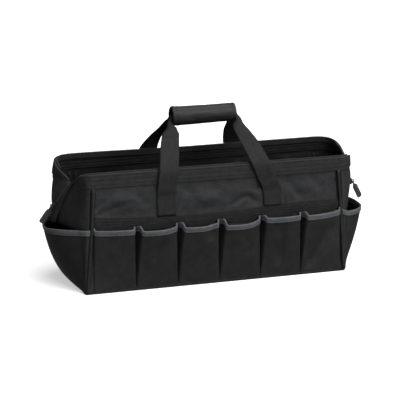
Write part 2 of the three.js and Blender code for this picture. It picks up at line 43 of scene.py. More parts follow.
# Camera, floor and light
# A long lens stands to the front left of the bag and a little above it. The floor is a pale seamless sheet
# that glows a little. A wide soft light comes from above the front right, two panels stand in front of the
# bag, and a third lights it from below.
CAMERA_YAW = math.radians(17.27)
CAMERA_PITCH = math.radians(15.77)
CAMERA_DISTANCE = 4.08075
CAMERA_TARGET = Vector((-0.012, 0, 0.15228))
CAMERA_LENS = 175.5
SENSOR_WIDTH = 36
VIEW_LIMIT = 60
FLOOR_HALF = 9.0
FLOOR_COLOUR = (0.76, 0.76, 0.76, 1)
FLOOR_GLOW = 0.5
FLOOR_ROUGHNESS = 0.9
SKY_STRENGTH = 0.12
KEY_FROM = Vector((0.44, -0.5, 1.12))
KEY_STRENGTH = 4.3
KEY_SPREAD = math.radians(70)
PANELS = {
    "front_right_panel": {"at": (1.3, -2.2, 1.5), "size": 0.9, "power": 16, "gloss": True},
    "front_panel": {"at": (0.75, -2.7, 0.9), "size": 1.6, "power": 14, "gloss": True},
    "floor_bounce": {"at": (0, 0, -0.6), "size": 4, "power": 28, "gloss": False},
}

scene.view_settings.view_transform = "Standard"
level = math.cos(CAMERA_PITCH)
away = Vector((-math.sin(CAMERA_YAW) * level, -math.cos(CAMERA_YAW) * level, math.sin(CAMERA_PITCH)))
camera = bpy.data.objects.new("camera", bpy.data.cameras.new("camera"))
camera.data.lens = CAMERA_LENS
camera.data.sensor_width = SENSOR_WIDTH
camera.data.clip_end = VIEW_LIMIT
camera.location = CAMERA_TARGET + away * CAMERA_DISTANCE
camera.rotation_euler = (-away).to_track_quat("-Z", "Y").to_euler()
scene.collection.objects.link(camera)
scene.camera = camera


def shown_mesh(name, shape, material):
    """A smooth object in the scene, made from a shape and given a material."""
    mesh = bpy.data.meshes.new(name)
    shape.to_mesh(mesh)
    shape.free()
    mesh.shade_smooth()
    mesh.materials.append(material)
    piece = bpy.data.objects.new(name, mesh)
    scene.collection.objects.link(piece)
    return piece


floor_paper = bpy.data.materials.new("floor_paper")
floor_paper.use_nodes = True
paper = floor_paper.node_tree.nodes["Principled BSDF"]
paper.inputs["Base Color"].default_value = FLOOR_COLOUR
paper.inputs["Roughness"].default_value = FLOOR_ROUGHNESS
paper.inputs["Emission Color"].default_value = (1, 1, 1, 1)
paper.inputs["Emission Strength"].default_value = FLOOR_GLOW
floor_sheet = bmesh.new()
bmesh.ops.create_grid(floor_sheet, x_segments=1, y_segments=1, size=FLOOR_HALF)
floor = shown_mesh("floor", floor_sheet, floor_paper)
floor.visible_glossy = False
floor.visible_diffuse = False
floor.visible_shadow = False

sky = bpy.data.worlds.new("sky")
sky.use_nodes = True
sky.node_tree.nodes["Background"].inputs["Color"].default_value = (1, 1, 1, 1)
sky.node_tree.nodes["Background"].inputs["Strength"].default_value = SKY_STRENGTH
scene.world = sky
key_light = bpy.data.lights.new("key", "SUN")
key_light.energy = KEY_STRENGTH
key_light.angle = KEY_SPREAD
key = bpy.data.objects.new("key", key_light)
key.rotation_euler = KEY_FROM.to_track_quat("Z", "Y").to_euler()
scene.collection.objects.link(key)
for panel_name, panel in PANELS.items():
    light = bpy.data.lights.new(panel_name, "AREA")
    light.size = panel["size"]
    light.energy = panel["power"]
    lamp = bpy.data.objects.new(panel_name, light)
    lamp.location = panel["at"]
    lamp.visible_glossy = panel["gloss"]
    lamp.rotation_euler = (CAMERA_TARGET - lamp.location).to_track_quat("-Z", "Y").to_euler()
    scene.collection.objects.link(lamp)


# Body walls
# The long walls and the two ends are one shell of black polyester weave, sewn at the corners. Its ends swell
# out towards the zip. Above the pockets the long walls hang slack, a little full and drawn by small pulls.
MM = 0.001
CLOTH = 1.6
WALL_FOOT = 2.8
RIM_HEIGHT = 247
RIM_DIPS = {"left": 35, "right": 28}
FRONT_DROP = (1.5, 4.6)
FRONT_DROP_FADE = (1, 1.6)
FRONT_DIP_POWER = 1.6
BACK_DIP_POWER = 2.4
BACK_RISE = 3.5
BACK_RISE_FADE = (0.2, 0.9)
HEM_HEADROOM = 1.4
SHOULDER = 0.45
BODY = (
    # height, half depth, half length between the corner seams
    (0, 95, 278),
    (60, 91.5, 274.8),
    (140, 87, 270.5),
    (190, 84, 267.3),
    (250, 80, 263.5),
)
LEFT_SPREAD = 6
SPREAD_HEIGHT = 130
LEFT_END = (
    # height, half length at the ridge, front turn, front fullness, back turn, back fullness
    (0, 285, 1, 0, 1, 0),
    (60, 293, 8, -3, 14, -3),
    (110, 303, 16, -8, 26, -7),
    (121, 307.5, 17, -9, 30, -8),
    (132, 322, 18, -9, 34, -9),
    (142, 325, 18, -11, 38, -8),
    (152, 325, 19, -13, 43, -4),
    (166, 320, 20, -14, 50, 7),
    (190, 306, 22, -9, 62, 19),
    (219, 283, 27, 3, 66, 37),
    (250, 282, 30, 6, 64, 29),
)
RIGHT_END = (
    # height, half length at the ridge, front turn, front fullness, back turn, back fullness
    (0, 279, 1, 0, 1, 0),
    (60, 289.5, 8, -3, 10, -3),
    (110, 302, 18, -8, 20, -7),
    (140, 312, 24, -11, 28, -9),
    (166, 320, 30, -12, 38, -8),
    (190, 320, 34, -12, 46, -4),
    (219, 312, 38, -8, 54, 2),
    (250, 306, 40, -4, 58, 8),
)
SWELLS = (
    # place along the wall, height, half width, half height, how far it stands out
    (-200, 190, 44, 24, 4.5),
    (-30, 181, 60, 22, 3.4),
    (58, 182, 40, 20, 0.8),
    (190, 184, 44, 22, 0.9),
)
PULLS = (
    # a crease from one point of a long wall to another: start and end along it and up it, half width, depth
    (-250, 165, -186, 187, 6, 1.6),
    (-260, 172, -246, 192, 5, 2.0),
    (-176, 204, -150, 176, 7, 1.6),
    (-66, 206, -48, 174, 6, 2.0),
    (-12, 202, 16, 178, 10, 1.5),
    (96, 206, 84, 188, 5, 3.6),
    (63, 181, 84, 161, 5, 3.0),
    (56, 179, 32, 161, 5, 2.4),
    (146, 211, 180, 166, 6, 2.8),
    (200, 208, 228, 180, 8, 1.8),
    (246, 168, 258, 196, 6, 1.8),
)
CREASE_FADE = (0.3, 0.75)
PULLS_START = (150, 160)
PULLS_STOP = (208, 219)
PULLS_CORNER = (0.96, 1)
CRUMPLE = 0.9
CRUMPLE_WAVES = (0.028, 0.04, 3.1)
FINE_CRUMPLE = 0.4
FINE_WAVES = (0.09, 0.12, 5.7)
SEAM_GROOVE = 3.4
GROOVES = (
    # place beside the corner, half width, share of the depth
    (0.03, 0.014, 1),
    (-0.0262, 0.005, 0.7),
)
GROOVE_START = (6, 20)
SLACK_STOP = (205, 216)
END_SLACK_START = (138, 150)
END_SLACK_SIDES = ((1.02, 1.12), (1.86, 1.95))
END_WAVES = (3.2, 0.022, 7.3)
END_FOLD = 2.2
END_FOLD_PLACE = 1.42
END_FOLD_HALF = 0.16
END_FOLD_START = (140, 190)
SEAM_ENDS = (
    # place of a corner seam, which way its end of the bag lies
    (1, -1),
    (3, 1),
    (5, -1),
    (7, 1),
)
NEAR_SEAM = (-0.04, 0.12)
NEAR_SEAM_STEPS = 32
AROUND_STEPS = 320
WALL_STEPS = 84
WELD = 1e-6
CLOUDS = {"Scale": 70.0, "Detail": 6.0, "Roughness": 0.75}
SLUB_STRETCHES = ((300, 1100, 1), (1100, 300, 1))
RIB_DIP = 0.35
WEAVE_GAP_SHADE = 0.3
CLOUD_TONE = 1.3
SLUB_TONE = 1.6
TONE_START = 1.1
SLUB_RELIEF = 0.5
YARN_RELIEF = 0.0004
CLOUD_ROUGHNESS = 0.16
CROWN_ROUGHNESS = 0.1


def smooth_rows(table):
    """A table's columns at a height, smooth between its rows."""
    heights = [row[0] for row in table]

    def at(height):
        height = min(max(height, heights[0]), heights[-1])
        i = min(max(bisect_right(heights, height), 1), len(heights) - 1)
        low, high = heights[i - 1], heights[i]
        before = i - 2 if i > 1 else i
        after = i + 1 if i + 1 < len(heights) else i - 1
        half = (high - low) / 2
        lead = half / (low - heights[before])
        trail = half / (heights[after] - high)
        p = (height - low) / (high - low)
        shares = (
            (before, lead * (-(p**3) + 2 * p**2 - p)),
            (i - 1, (1 + lead) * p**3 - (1.5 + 2 * lead) * p**2 + (lead - 0.5) * p + 1),
            (i, (-1 - trail) * p**3 + (1.5 + trail) * p**2 + 0.5 * p),
            (after, trail * (p**3 - p**2)),
        )
        return [sum(share * table[row][k] for row, share in shares) for k in range(1, len(table[0]))]

    return at


body_at = smooth_rows(BODY)
left_end_at = smooth_rows(LEFT_END)
right_end_at = smooth_rows(RIGHT_END)


def swell_at(x, z):
    """How far a long wall stands out where its cloth is full."""
    out = 0
    for swell_x, swell_z, wide, high, full in SWELLS:
        out += full * math.exp(-2 * (((x - swell_x) / wide) ** 2 + ((z - swell_z) / high) ** 2))
    return out


def walk_of(place):
    """Which long wall a place is nearer to, and how far along it: -1 and 1 are its corner seams."""
    around = place % 8
    return (-1, around - 2) if around < 4 else (1, 6 - around)


def wall_point(place, z):
    """The body's wall, at a place round it and a height.

    Place 0 is the left ridge, 1 and 3 the front seams, 4 the right ridge, and 5 and 7 the back seams.
    """
    side, walk = walk_of(place)
    depth, seam = body_at(z)
    if walk < 0:
        seam += LEFT_SPREAD * max(1 - z / SPREAD_HEIGHT, 0)
    way = abs(walk) - 1
    if way <= 0:
        x = walk * seam
        return Vector((x, side * (depth + swell_at(x, z)), z))
    ridge, front_turn, front_full, back_turn, back_full = left_end_at(z) if walk < 0 else right_end_at(z)
    turn, full = (front_turn, front_full) if side < 0 else (back_turn, back_full)
    rest = 1 - way
    x = seam * rest**3 + 3 * (seam + turn) * rest**2 * way
    x = x + 3 * (ridge + full) * rest * way**2 + ridge * way**3
    y = depth * (rest**3 + 3 * rest**2 * way + 3 * SHOULDER * rest * way**2)
    return Vector((math.copysign(x, walk), side * y, z))


def ease(value, low, high):
    """0 below low, 1 above high and smooth between them."""
    share = min(max((value - low) / (high - low), 0), 1)
    return share * share * (3 - 2 * share)


def front_drop(place):
    """How far the front rim hangs lower than the back one: more at its right, nothing at the ridges."""
    side, walk = walk_of(place)
    if side > 0:
        return 0
    low, high = FRONT_DROP
    drop = low + (high - low) * (min(max(walk, -1), 1) + 1) / 2
    return drop * (1 - ease(abs(walk), *FRONT_DROP_FADE))


def rim_at(place):
    """The height of the mouth's edge, which dips at the ridges."""
    side, walk = walk_of(place)
    way = max(abs(walk) - 1, 0)
    dip = RIM_DIPS["left" if walk < 0 else "right"]
    if side < 0:
        return RIM_HEIGHT - front_drop(place) - dip * way**FRONT_DIP_POWER
    rise = BACK_RISE * ease(-walk, 0, 1) * (1 - ease(way, *BACK_RISE_FADE))
    return RIM_HEIGHT + rise - dip * way**BACK_DIP_POWER


def normal_at(surface, across, up):
    step = 1e-3
    along = surface(across + step, up) - surface(across - step, up)
    rise = surface(across, up + step) - surface(across, up - step)
    return along.cross(rise).normalized()


def carried(surface, distance):
    """A surface carried outwards by a distance."""
    return lambda across, up: surface(across, up) + normal_at(surface, across, up) * distance


def stops(start, end, count):
    return [start + (end - start) * i / count for i in range(count + 1)]


def crease_fall(creases, along, up):
    """How far creases draw a sheet in at a place on it."""
    fall = 0
    for start_along, start_up, end_along, end_up, wide, deep in creases:
        run = Vector((end_along - start_along, end_up - start_up))
        to = Vector((along - start_along, up - start_up))
        share = to.dot(run) / run.length_squared
        off = (to - run * min(max(share, 0), 1)).length
        fade = 1 - ease(abs(share - 0.5), *CREASE_FADE)
        fall += deep * fade * math.exp(-((off / wide) ** 2))
    return fall


def ripple(waves, along, up, side):
    """A soft random rise and fall over a sheet, by its waves along it, up it and from side to side."""
    return noise.noise(Vector((along * waves[0], up * waves[1], side * waves[2])))


def slack_at(place, z):
    """How far the cloth falls in from the wall's plain form: pulls above the pockets and a soft crumple."""
    side, walk = walk_of(place)
    beside = abs(walk) - 1
    under_hem = 1 - ease(z, *SLACK_STOP)
    lines = sum(share * math.exp(-(((beside - at) / half) ** 2)) for at, half, share in GROOVES)
    groove = SEAM_GROOVE * lines * ease(z, *GROOVE_START) * under_hem
    if beside <= 0:
        x = walk * body_at(z)[1]
        free = ease(z, *PULLS_START) * (1 - ease(z, *PULLS_STOP))
        crumple = ripple(CRUMPLE_WAVES, x, z, side) + FINE_CRUMPLE * ripple(FINE_WAVES, x, z, side)
        fall = crease_fall(PULLS, x, z) + CRUMPLE * (0.5 + crumple)
        return groove + free * (1 - ease(abs(walk), *PULLS_CORNER)) * fall
    from_corner, to_ridge = END_SLACK_SIDES
    inside = ease(abs(walk), *from_corner) * (1 - ease(abs(walk), *to_ridge))
    fold = math.exp(-(((abs(walk) - END_FOLD_PLACE) / END_FOLD_HALF) ** 2)) * ease(z, *END_FOLD_START)
    fall = CRUMPLE * (0.5 + ripple(END_WAVES, walk, z, side)) + END_FOLD * fold
    return groove + inside * ease(z, *END_SLACK_START) * under_hem * fall


def body_shell(place, up):
    """The wall as it hangs, from its foot at 0 to just under the mouth's edge at 1."""
    z = WALL_FOOT + (rim_at(place) - HEM_HEADROOM - WALL_FOOT) * up
    return wall_point(place, z) - normal_at(wall_point, place, z) * slack_at(place, z)


def lengths_along(points):
    run = [0.0]
    for start, end in zip(points, points[1:]):
        run.append(run[-1] + (end - start).length)
    return run


def lay_cloth(name, place_at, across, up, material, thickness=0.0, closed=False, shaded_inside=None):
    """A grid of cells laid on a shape, with a UV map in metres, and the size of the flat cut it takes."""
    columns = len(across)
    points = [[place_at(a, b) * MM for a in across] for b in up]
    run = lengths_along(points[len(up) // 2])
    rise = lengths_along([row[columns // 2] for row in points])
    sheet = bmesh.new()
    flat = sheet.loops.layers.uv.new("UVMap")
    bmesh.ops.create_grid(sheet, x_segments=columns - 1, y_segments=len(up) - 1, size=1.0)
    sheet.verts.index_update()
    for vertex in sheet.verts:
        row, column = divmod(vertex.index, columns)
        vertex.co = points[row][column]
    for face in sheet.faces:
        for loop in face.loops:
            row, column = divmod(loop.vert.index, columns)
            loop[flat].uv = (run[column], rise[row])
    if closed:
        bmesh.ops.remove_doubles(sheet, verts=sheet.verts, dist=WELD)
    piece = shown_mesh(name, sheet, material)
    if thickness:
        wall = piece.modifiers.new("thickness", "SOLIDIFY")
        wall.thickness = thickness * MM
        wall.offset = 0
        # A second finish, when given, goes on the inner side. For the walls it is a darker copy of their
        # cloth: painted shade inside the bag.
        if shaded_inside:
            piece.data.materials.append(shaded_inside)
            wall.material_offset = 1
    width = max(lengths_along(row)[-1] for row in points)
    length = max(lengths_along([row[i] for row in points])[-1] for i in range(columns))
    return piece, (width, length)


def on_bag(piece, slot, *nodes):
    """The piece moves with the bag and stands for these nodes. Its slot is not used."""
    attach(piece, "bag")
    if nodes:
        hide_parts(*nodes)


class Shade:
    """A socket of a material's nodes. Arithmetic on it adds the nodes that work it out."""

    def __init__(self, tree, socket=None):
        self.tree = tree
        self.socket = socket

    def node(self, kind, settings, sockets, output=0):
        made = self.tree.nodes.new(kind)
        for name, value in settings.items():
            setattr(made, name, value)
        for key, value in sockets.items():
            if isinstance(value, Shade):
                self.tree.links.new(value.socket, made.inputs[key])
            else:
                made.inputs[key].default_value = value
        return Shade(self.tree, made.outputs[output])

    def maths(self, operation, *values):
        return self.node("ShaderNodeMath", {"operation": operation}, dict(enumerate(values)))

    def __add__(self, other):
        return self.maths("ADD", self, other)

    def __sub__(self, other):
        return self.maths("SUBTRACT", self, other)

    def __rsub__(self, other):
        return self.maths("SUBTRACT", other, self)

    def __mul__(self, other):
        return self.maths("MULTIPLY", self, other)

    __radd__ = __add__
    __rmul__ = __mul__

    def wave(self, pitch):
        """A sine along the value, with a pitch in its own unit."""
        return self.maths("SINE", self * (2 * math.pi / pitch))

    def size(self):
        return self.maths("ABSOLUTE", self)

    def between(self, low, high):
        """The value eased from 0 at low to 1 at high."""
        limits = {"Value": self, "From Min": low, "From Max": high}
        return self.node("ShaderNodeMapRange", {"interpolation_type": "SMOOTHSTEP"}, limits)

    def blend(self, first, second):
        """Two colours, by the value."""
        return self.node("ShaderNodeMix", {"data_type": "RGBA"}, {0: self, 6: first, 7: second}, 2)


def grey(level, warm=0.0):
    """A dark grey of a cloth, a little warm above 0 and a little blue below it."""
    return (level * (1 + warm / 3), level, level * (1 - warm), 1)


def cloth_finish(name, dark, light, yarns, roughness, relief, gloss, ribs=False):
    """A woven finish. Yarns are the pitches along and across, and ribs are a webbing's or a ribbon's."""
    material = bpy.data.materials.new(name)
    material.use_nodes = True
    start = Shade(material.node_tree)
    flat = start.node("ShaderNodeUVMap", {"uv_map": "UVMap"}, {})
    along = start.node("ShaderNodeSeparateXYZ", {}, {0: flat}, 0)
    up = start.node("ShaderNodeSeparateXYZ", {}, {0: flat}, 1)
    where = start.node("ShaderNodeTexCoord", {}, {}, 3)
    cloud = start.node("ShaderNodeTexNoise", {}, {"Vector": where, **CLOUDS})
    streaks = []
    for stretch in SLUB_STRETCHES:
        drawn = start.node("ShaderNodeVectorMath", {"operation": "MULTIPLY"}, {0: flat, 1: stretch})
        streaks.append(start.node("ShaderNodeTexNoise", {}, {"Vector": drawn, "Scale": 1.0, "Detail": 2.0}))
    slub = 0.5 * (streaks[0] + streaks[1])
    first = along.wave(2 * yarns[0] * MM)
    second = up.wave(2 * yarns[1] * MM)
    crown = (first * second).size()
    if ribs:
        crown = first.size() * (1 - RIB_DIP + RIB_DIP * second.size())
    # The tone is lighter on the yarns' crowns, with painted shade in the gaps between them, and it drifts at
    # random with the clouds and slubs.
    tone = (WEAVE_GAP_SHADE * crown + CLOUD_TONE * cloud + SLUB_TONE * slub - TONE_START).between(0.0, 1.0)
    height = crown + SLUB_RELIEF * slub
    bump = start.node("ShaderNodeBump", {}, {"Strength": relief, "Distance": YARN_RELIEF, "Height": height})
    surface = material.node_tree.nodes["Principled BSDF"]
    material.node_tree.links.new(tone.blend(dark, light).socket, surface.inputs["Base Color"])
    rough = roughness + CLOUD_ROUGHNESS * (cloud - 0.5) + CROWN_ROUGHNESS * (0.5 - crown)
    material.node_tree.links.new(rough.socket, surface.inputs["Roughness"])
    material.node_tree.links.new(bump.socket, surface.inputs["Normal"])
    surface.inputs["Specular IOR Level"].default_value = gloss
    return material


around = stops(0, 8, AROUND_STEPS)
for seam_place, seam_way in SEAM_ENDS:
    low, high = sorted(seam_place + seam_way * reach for reach in NEAR_SEAM)
    around = [place for place in around if not low <= place <= high] + stops(low, high, NEAR_SEAM_STEPS)
around.sort()
# The walls' cloth is lighter and bluer than the same cloth of the pockets, bands and base: partly painted
# sheen, partly the cloth's own tone.
wall_weave_painted_sheen = cloth_finish(
    "wall_weave_painted_sheen",
    grey(0.0072, -0.05),
    grey(0.026, -0.09),
    yarns=(0.7, 0.7),
    roughness=0.45,
    relief=0.5,
    gloss=0.34,
)
# The inner side of the walls and of the hems takes a darker copy of the wall's cloth: painted shade inside
# the bag.
shaded_inside_weave = cloth_finish(
    "shaded_inside_weave", grey(0.0032), grey(0.0105), yarns=(0.7, 0.7), roughness=0.55, relief=0.5, gloss=0.2
)
wall_rows = stops(0, 1, WALL_STEPS)
body, body_cut = lay_cloth(
    "body_walls", body_shell, around, wall_rows, wall_weave_painted_sheen, CLOTH, closed=True, shaded_inside=shaded_inside_weave
)
on_bag(body, "cloth", "front_panel", "back_panel", "left_end_panel", "right_end_panel")


# Base
# The floor of the bag is a stiff board covered in the same cloth. Its edge turns up a little round the feet
# of the walls and the pockets, where it is sewn on.
BASE_ENDS = (-286, 280.5)
BASE_HALF_DEPTH = 97.6
BASE_CORNER = 8
BASE_CLOTH = 1.2
BASE_TURN = 6
BASE_ROUND = 1.6
BASE_FOLD_ANGLE = 1


def round_off(shape, parts, width, segments, affect="EDGES", clamp=False):
    """Rounds edges or corners of a shape by a width."""
    bmesh.ops.bevel(
        shape,
        geom=parts,
        offset=width * MM,
        segments=segments,
        profile=0.5,
        affect=affect,
        clamp_overlap=clamp,
        material=-1,
    )


base_weave = cloth_finish(
    "base_weave", grey(0.006), grey(0.02), yarns=(0.8, 0.8), roughness=0.66, relief=0.5, gloss=0.16
)
board = bmesh.new()
bmesh.ops.create_grid(board, x_segments=1, y_segments=1, size=1.0)
base_left, base_right = BASE_ENDS
bmesh.ops.scale(board, vec=((base_right - base_left) / 2 * MM, BASE_HALF_DEPTH * MM, 1), verts=board.verts)
bmesh.ops.translate(board, vec=((base_left + base_right) / 2 * MM, 0, 0), verts=board.verts)
round_off(board, board.verts[:], BASE_CORNER, segments=6, affect="VERTICES")
edge_ring = [edge for edge in board.edges if edge.is_boundary]
turned = bmesh.ops.extrude_edge_only(board, edges=edge_ring)
turned_up = [item for item in turned["geom"] if isinstance(item, bmesh.types.BMVert)]
bmesh.ops.translate(board, vec=(0, 0, BASE_TURN * MM), verts=turned_up)
bmesh.ops.recalc_face_normals(board, faces=board.faces)
inner_edges = [edge for edge in board.edges if not edge.is_boundary]
foot_edges = [edge for edge in inner_edges if edge.calc_face_angle(0) > BASE_FOLD_ANGLE]
round_off(board, foot_edges, BASE_ROUND, segments=3)
flat = board.loops.layers.uv.new("UVMap")
for face in board.faces:
    for loop in face.loops:
        loop[flat].uv = (loop.vert.co.x, loop.vert.co.y + loop.vert.co.z)
base_board = shown_mesh("base_board", board, base_weave)
board_wall = base_board.modifiers.new("thickness", "SOLIDIFY")
board_wall.thickness = BASE_CLOTH * MM
board_wall.offset = -1
on_bag(base_board, "cloth", "base_panel")


# Corner piping
# A strip of cloth folded round a cord is sewn into each corner seam. Its bead stands proud of the corner, and
# a row of stitches on each side of it holds the seam down.
PIPING_FOOT = 3.4
PIPING_TOP = 219
PIPING_TUCK = 5
PIPING_TUCKED = 0.35
PIPING_SEAMS = (0.0165, -0.038)
PIPING_SEAM_FOOT = 8
PIPING_SEAM_TOP = 213
PIPING_STITCH_OUT = 0.3
RUN_STEP = 0.002
PIPING_ROOM = 0.01
PIPING_CLOTH = 0.8
PIPING_RISE = 0.9
WELT = (
    # distance along the long wall from the corner, height over the wall
    (-2.9, 0.9),
    (-3.1, 2.2),
    (-2.6, 4.0),
    (-1.4, 5.2),
    (0, 5.6),
    (1.4, 5.2),
    (2.5, 4.0),
    (2.9, 2.2),
    (2.7, 0.9),
)
CORNERS = {
    "front_left": (1 + PIPING_ROOM, 1),
    "front_right": (3 - PIPING_ROOM, -1),
    "back_right": (5 + PIPING_ROOM, 1),
    "back_left": (7 - PIPING_ROOM, -1),
}
THREAD = 0.42
STITCH = 3.6
STITCH_SIZE = (STITCH * 0.4, THREAD, THREAD * 0.8)
DRIFT = (0.3, 0.7)
DRIFT_ROUGHNESS = 0.2
DRIFT_BUMP = {"Strength": 0.15, "Distance": 0.0002}


def plain_finish(name, dark, light, grain, roughness, metallic=0.0):
    """A finish with no weave: its tone and roughness drift over a fine grain."""
    material = bpy.data.materials.new(name)
    material.use_nodes = True
    start = Shade(material.node_tree)
    where = start.node("ShaderNodeTexCoord", {}, {}, 3)
    drift = start.node("ShaderNodeTexNoise", {}, {"Vector": where, "Scale": grain, "Detail": 4.0})
    surface = material.node_tree.nodes["Principled BSDF"]
    tone = drift.between(*DRIFT).blend(dark, light)
    material.node_tree.links.new(tone.socket, surface.inputs["Base Color"])
    rough = roughness + DRIFT_ROUGHNESS * (drift - 0.5)
    material.node_tree.links.new(rough.socket, surface.inputs["Roughness"])
    bump = start.node("ShaderNodeBump", {}, {**DRIFT_BUMP, "Height": drift})
    material.node_tree.links.new(bump.socket, surface.inputs["Normal"])
    surface.inputs["Metallic"].default_value = metallic
    return material


def line(start, end, count):
    """Pairs of surface places from one pair to another."""
    return list(zip(stops(start[0], end[0], count), stops(start[1], end[1], count)))


def row_on(surface, pairs, out):
    """Points and normals on a surface at pairs of places, carried outwards."""
    raised = carried(surface, out)
    return [(raised(a, b), normal_at(surface, a, b)) for a, b in pairs]


def beads(rows, pitch, size, share=0.5):
    """Small rounded beads at a pitch along rows of points and normals: stitches or the teeth of a zip."""
    string = bmesh.new()
    for row in rows:
        run = lengths_along([point for point, _ in row])
        seam = bmesh.new()
        k = 0
        for i in range(int(run[-1] / pitch)):
            at = (i + share) * pitch
            while run[k + 1] < at:
                k += 1
            point = row[k][0].lerp(row[k + 1][0], (at - run[k]) / (run[k + 1] - run[k]))
            ahead = (row[k + 1][0] - row[k][0]).normalized()
            aside = row[k][1].cross(ahead).normalized()
            turn = Matrix((ahead, aside, ahead.cross(aside))).transposed().to_4x4()
            place = Matrix.Scale(MM, 4) @ Matrix.Translation(point) @ turn @ Matrix.Diagonal((*size, 1))
            bmesh.ops.create_icosphere(seam, subdivisions=1, radius=1.0, matrix=place)
        row_mesh = bpy.data.meshes.new("row")
        seam.to_mesh(row_mesh)
        seam.free()
        string.from_mesh(row_mesh)
        bpy.data.meshes.remove(row_mesh)
    return string


def sew(name, rows, material, slot="cloth"):
    """Rows of stitches as one piece of thread."""
    thread = shown_mesh(name, beads(rows, STITCH, STITCH_SIZE), material)
    on_bag(thread, slot)


def welt_at(place, way):
    """The strip's form at a corner: index of its section's row, and height."""

    def at(index, z):
        aside, height = WELT[round(index)]
        middle = wall_point(place, z)
        out = normal_at(wall_point, place, z)
        run = (wall_point(place + RUN_STEP * way, z) - middle).normalized()
        free = 1 - ease(z, PIPING_TOP - PIPING_TUCK, PIPING_TOP)
        stand = PIPING_TUCKED + (1 - PIPING_TUCKED) * free
        return middle + run * aside + out * (PIPING_RISE + (height - PIPING_RISE) * stand)

    return at


black_thread = plain_finish("black_thread", grey(0.005), grey(0.012), grain=900.0, roughness=0.6)
piping_weave = cloth_finish(
    "piping_weave", grey(0.008), grey(0.026), yarns=(0.6, 0.6), roughness=0.6, relief=0.4, gloss=0.2
)
piping_heights = stops(PIPING_FOOT, PIPING_TOP, 60)
for corner, (place, way) in CORNERS.items():
    section_rows = list(range(len(WELT)))[::way]
    welt, welt_cut = lay_cloth(
        corner + "_welt", welt_at(place, way), section_rows, piping_heights, piping_weave, PIPING_CLOTH
    )
    on_bag(welt, "cloth", corner + "_piping")
corner_rows = []
for place, way in CORNERS.values():
    for seam in PIPING_SEAMS:
        beside = place + seam * way
        sewn = line((beside, PIPING_SEAM_FOOT), (beside, PIPING_SEAM_TOP), 40)
        corner_rows.append(row_on(wall_point, sewn, PIPING_STITCH_OUT))
sew("piping_stitches", corner_rows, black_thread)


# Stitched bands
# A doubled strip of the wall's cloth is sewn along each long wall, over the pockets, with four rows of
# stitches that draw it down. Its foot lies inside the pockets' mouths.
BAND_FOOT = 135.6
BAND_HIDDEN = 11
BAND_SCALLOP = (8, 24)
POCKET_PITCH = 89
BAND_TOPS = (
    # place along the wall, height of the band's upper edge
    (-271, 159.5),
    (-190, 153.6),
    (-111, 149.4),
    (-30, 148.2),
    (37, 148.6),
    (100, 152.6),
    (150, 155.4),
    (271, 156.6),
)
BAND_CLOTH = 1.0
BAND_REACH = 0.976
BAND_SEAMS = (0.24, 0.5, 0.74, 0.9)
BAND_OUT = 1.7
BAND_CROWN = 0.35
STITCH_OUT = 0.25
SEAM_DRAW = 0.5
SEAM_HALF = 0.9


def draw_in(height, seams):
    """How far rows of stitches draw the cloth in at a height."""
    return SEAM_DRAW * sum(math.exp(-(((height - seam) / SEAM_HALF) ** 2)) for seam in seams)


band_top_at = smooth_rows(BAND_TOPS)


def band_height(place, share):
    """The height of a place on a band, from its foot inside the pockets at 0 to its upper edge at 1."""
    _, walk = walk_of(place)
    x = walk * body_at(BAND_FOOT)[1]
    (top,) = band_top_at(x)
    from_seam = abs(x / POCKET_PITCH - round(x / POCKET_PITCH)) * POCKET_PITCH
    foot = BAND_FOOT - BAND_HIDDEN * ease(from_seam, *BAND_SCALLOP)
    return foot + (top - foot) * share


def band_seam(place, share):
    """The height of a row of stitches on a band, as a share of what shows over the pockets."""
    return BAND_FOOT + (band_height(place, 1) - BAND_FOOT) * share


def band_at(place, share):
    z = band_height(place, share)
    drawn = draw_in(z, [band_seam(place, seam) for seam in BAND_SEAMS])
    return carried(wall_point, BAND_OUT + BAND_CROWN * math.sin(math.pi * share) - drawn)(place, z)


band_weave = cloth_finish(
    "band_weave", grey(0.006), grey(0.02), yarns=(0.7, 0.7), roughness=0.62, relief=0.5, gloss=0.16
)
for wall, middle in (("front", 2), ("back", 6)):
    band_run = (middle - BAND_REACH, middle + BAND_REACH)
    band, band_cut = lay_cloth(
        wall + "_band_cloth", band_at, stops(*band_run, 160), stops(0, 1, 30), band_weave, BAND_CLOTH
    )
    on_bag(band, "cloth", wall + "_band")
    band_long = lengths_along([band_at(place, 1) * MM for place in stops(*band_run, 80)])[-1]
    band_rows = []
    for seam in BAND_SEAMS:
        pairs = [(place, band_seam(place, seam)) for place in stops(*band_run, 80)]
        band_rows.append(row_on(wall_point, pairs, BAND_OUT + STITCH_OUT))
    sew(wall + "_band_stitches", band_rows, black_thread)


# Hems of the mouth
# A wide binding of black cloth is folded over each long rim and round the corners to the zip's ridges. Four
# rows of stitches hold it outside and four inside.
HEM_FOOT = 220
HEM_LEAST = 7
HEM_HALF = 2.3
HEM_CLOTH = 1.2
HEM_ROOM = 0.05
HEM_CROWN = 0.75
HEM_SIDE_STEPS = 26
HEM_CROWN_STEPS = 6
HEM_OUTER_SEAMS = (2.2, 5.2, 13.6, 23.2)
HEM_INNER_SEAMS = (2.2, 9.0, 15.6, 22.0)
HEM_FULL = (12, 24)
HEM_RIPPLE = 0.3
HEM_WAVES = (14, 0.05, 2)
FOOT_SEAM = 3
FOOT_SEAM_ROOM = 0.12
UPPER_SEAM_ROOM = 0.36
SEAM_UNDER_RIM = 2


def hem_foot(place):
    return min(HEM_FOOT - front_drop(place), rim_at(place) - HEM_LEAST)


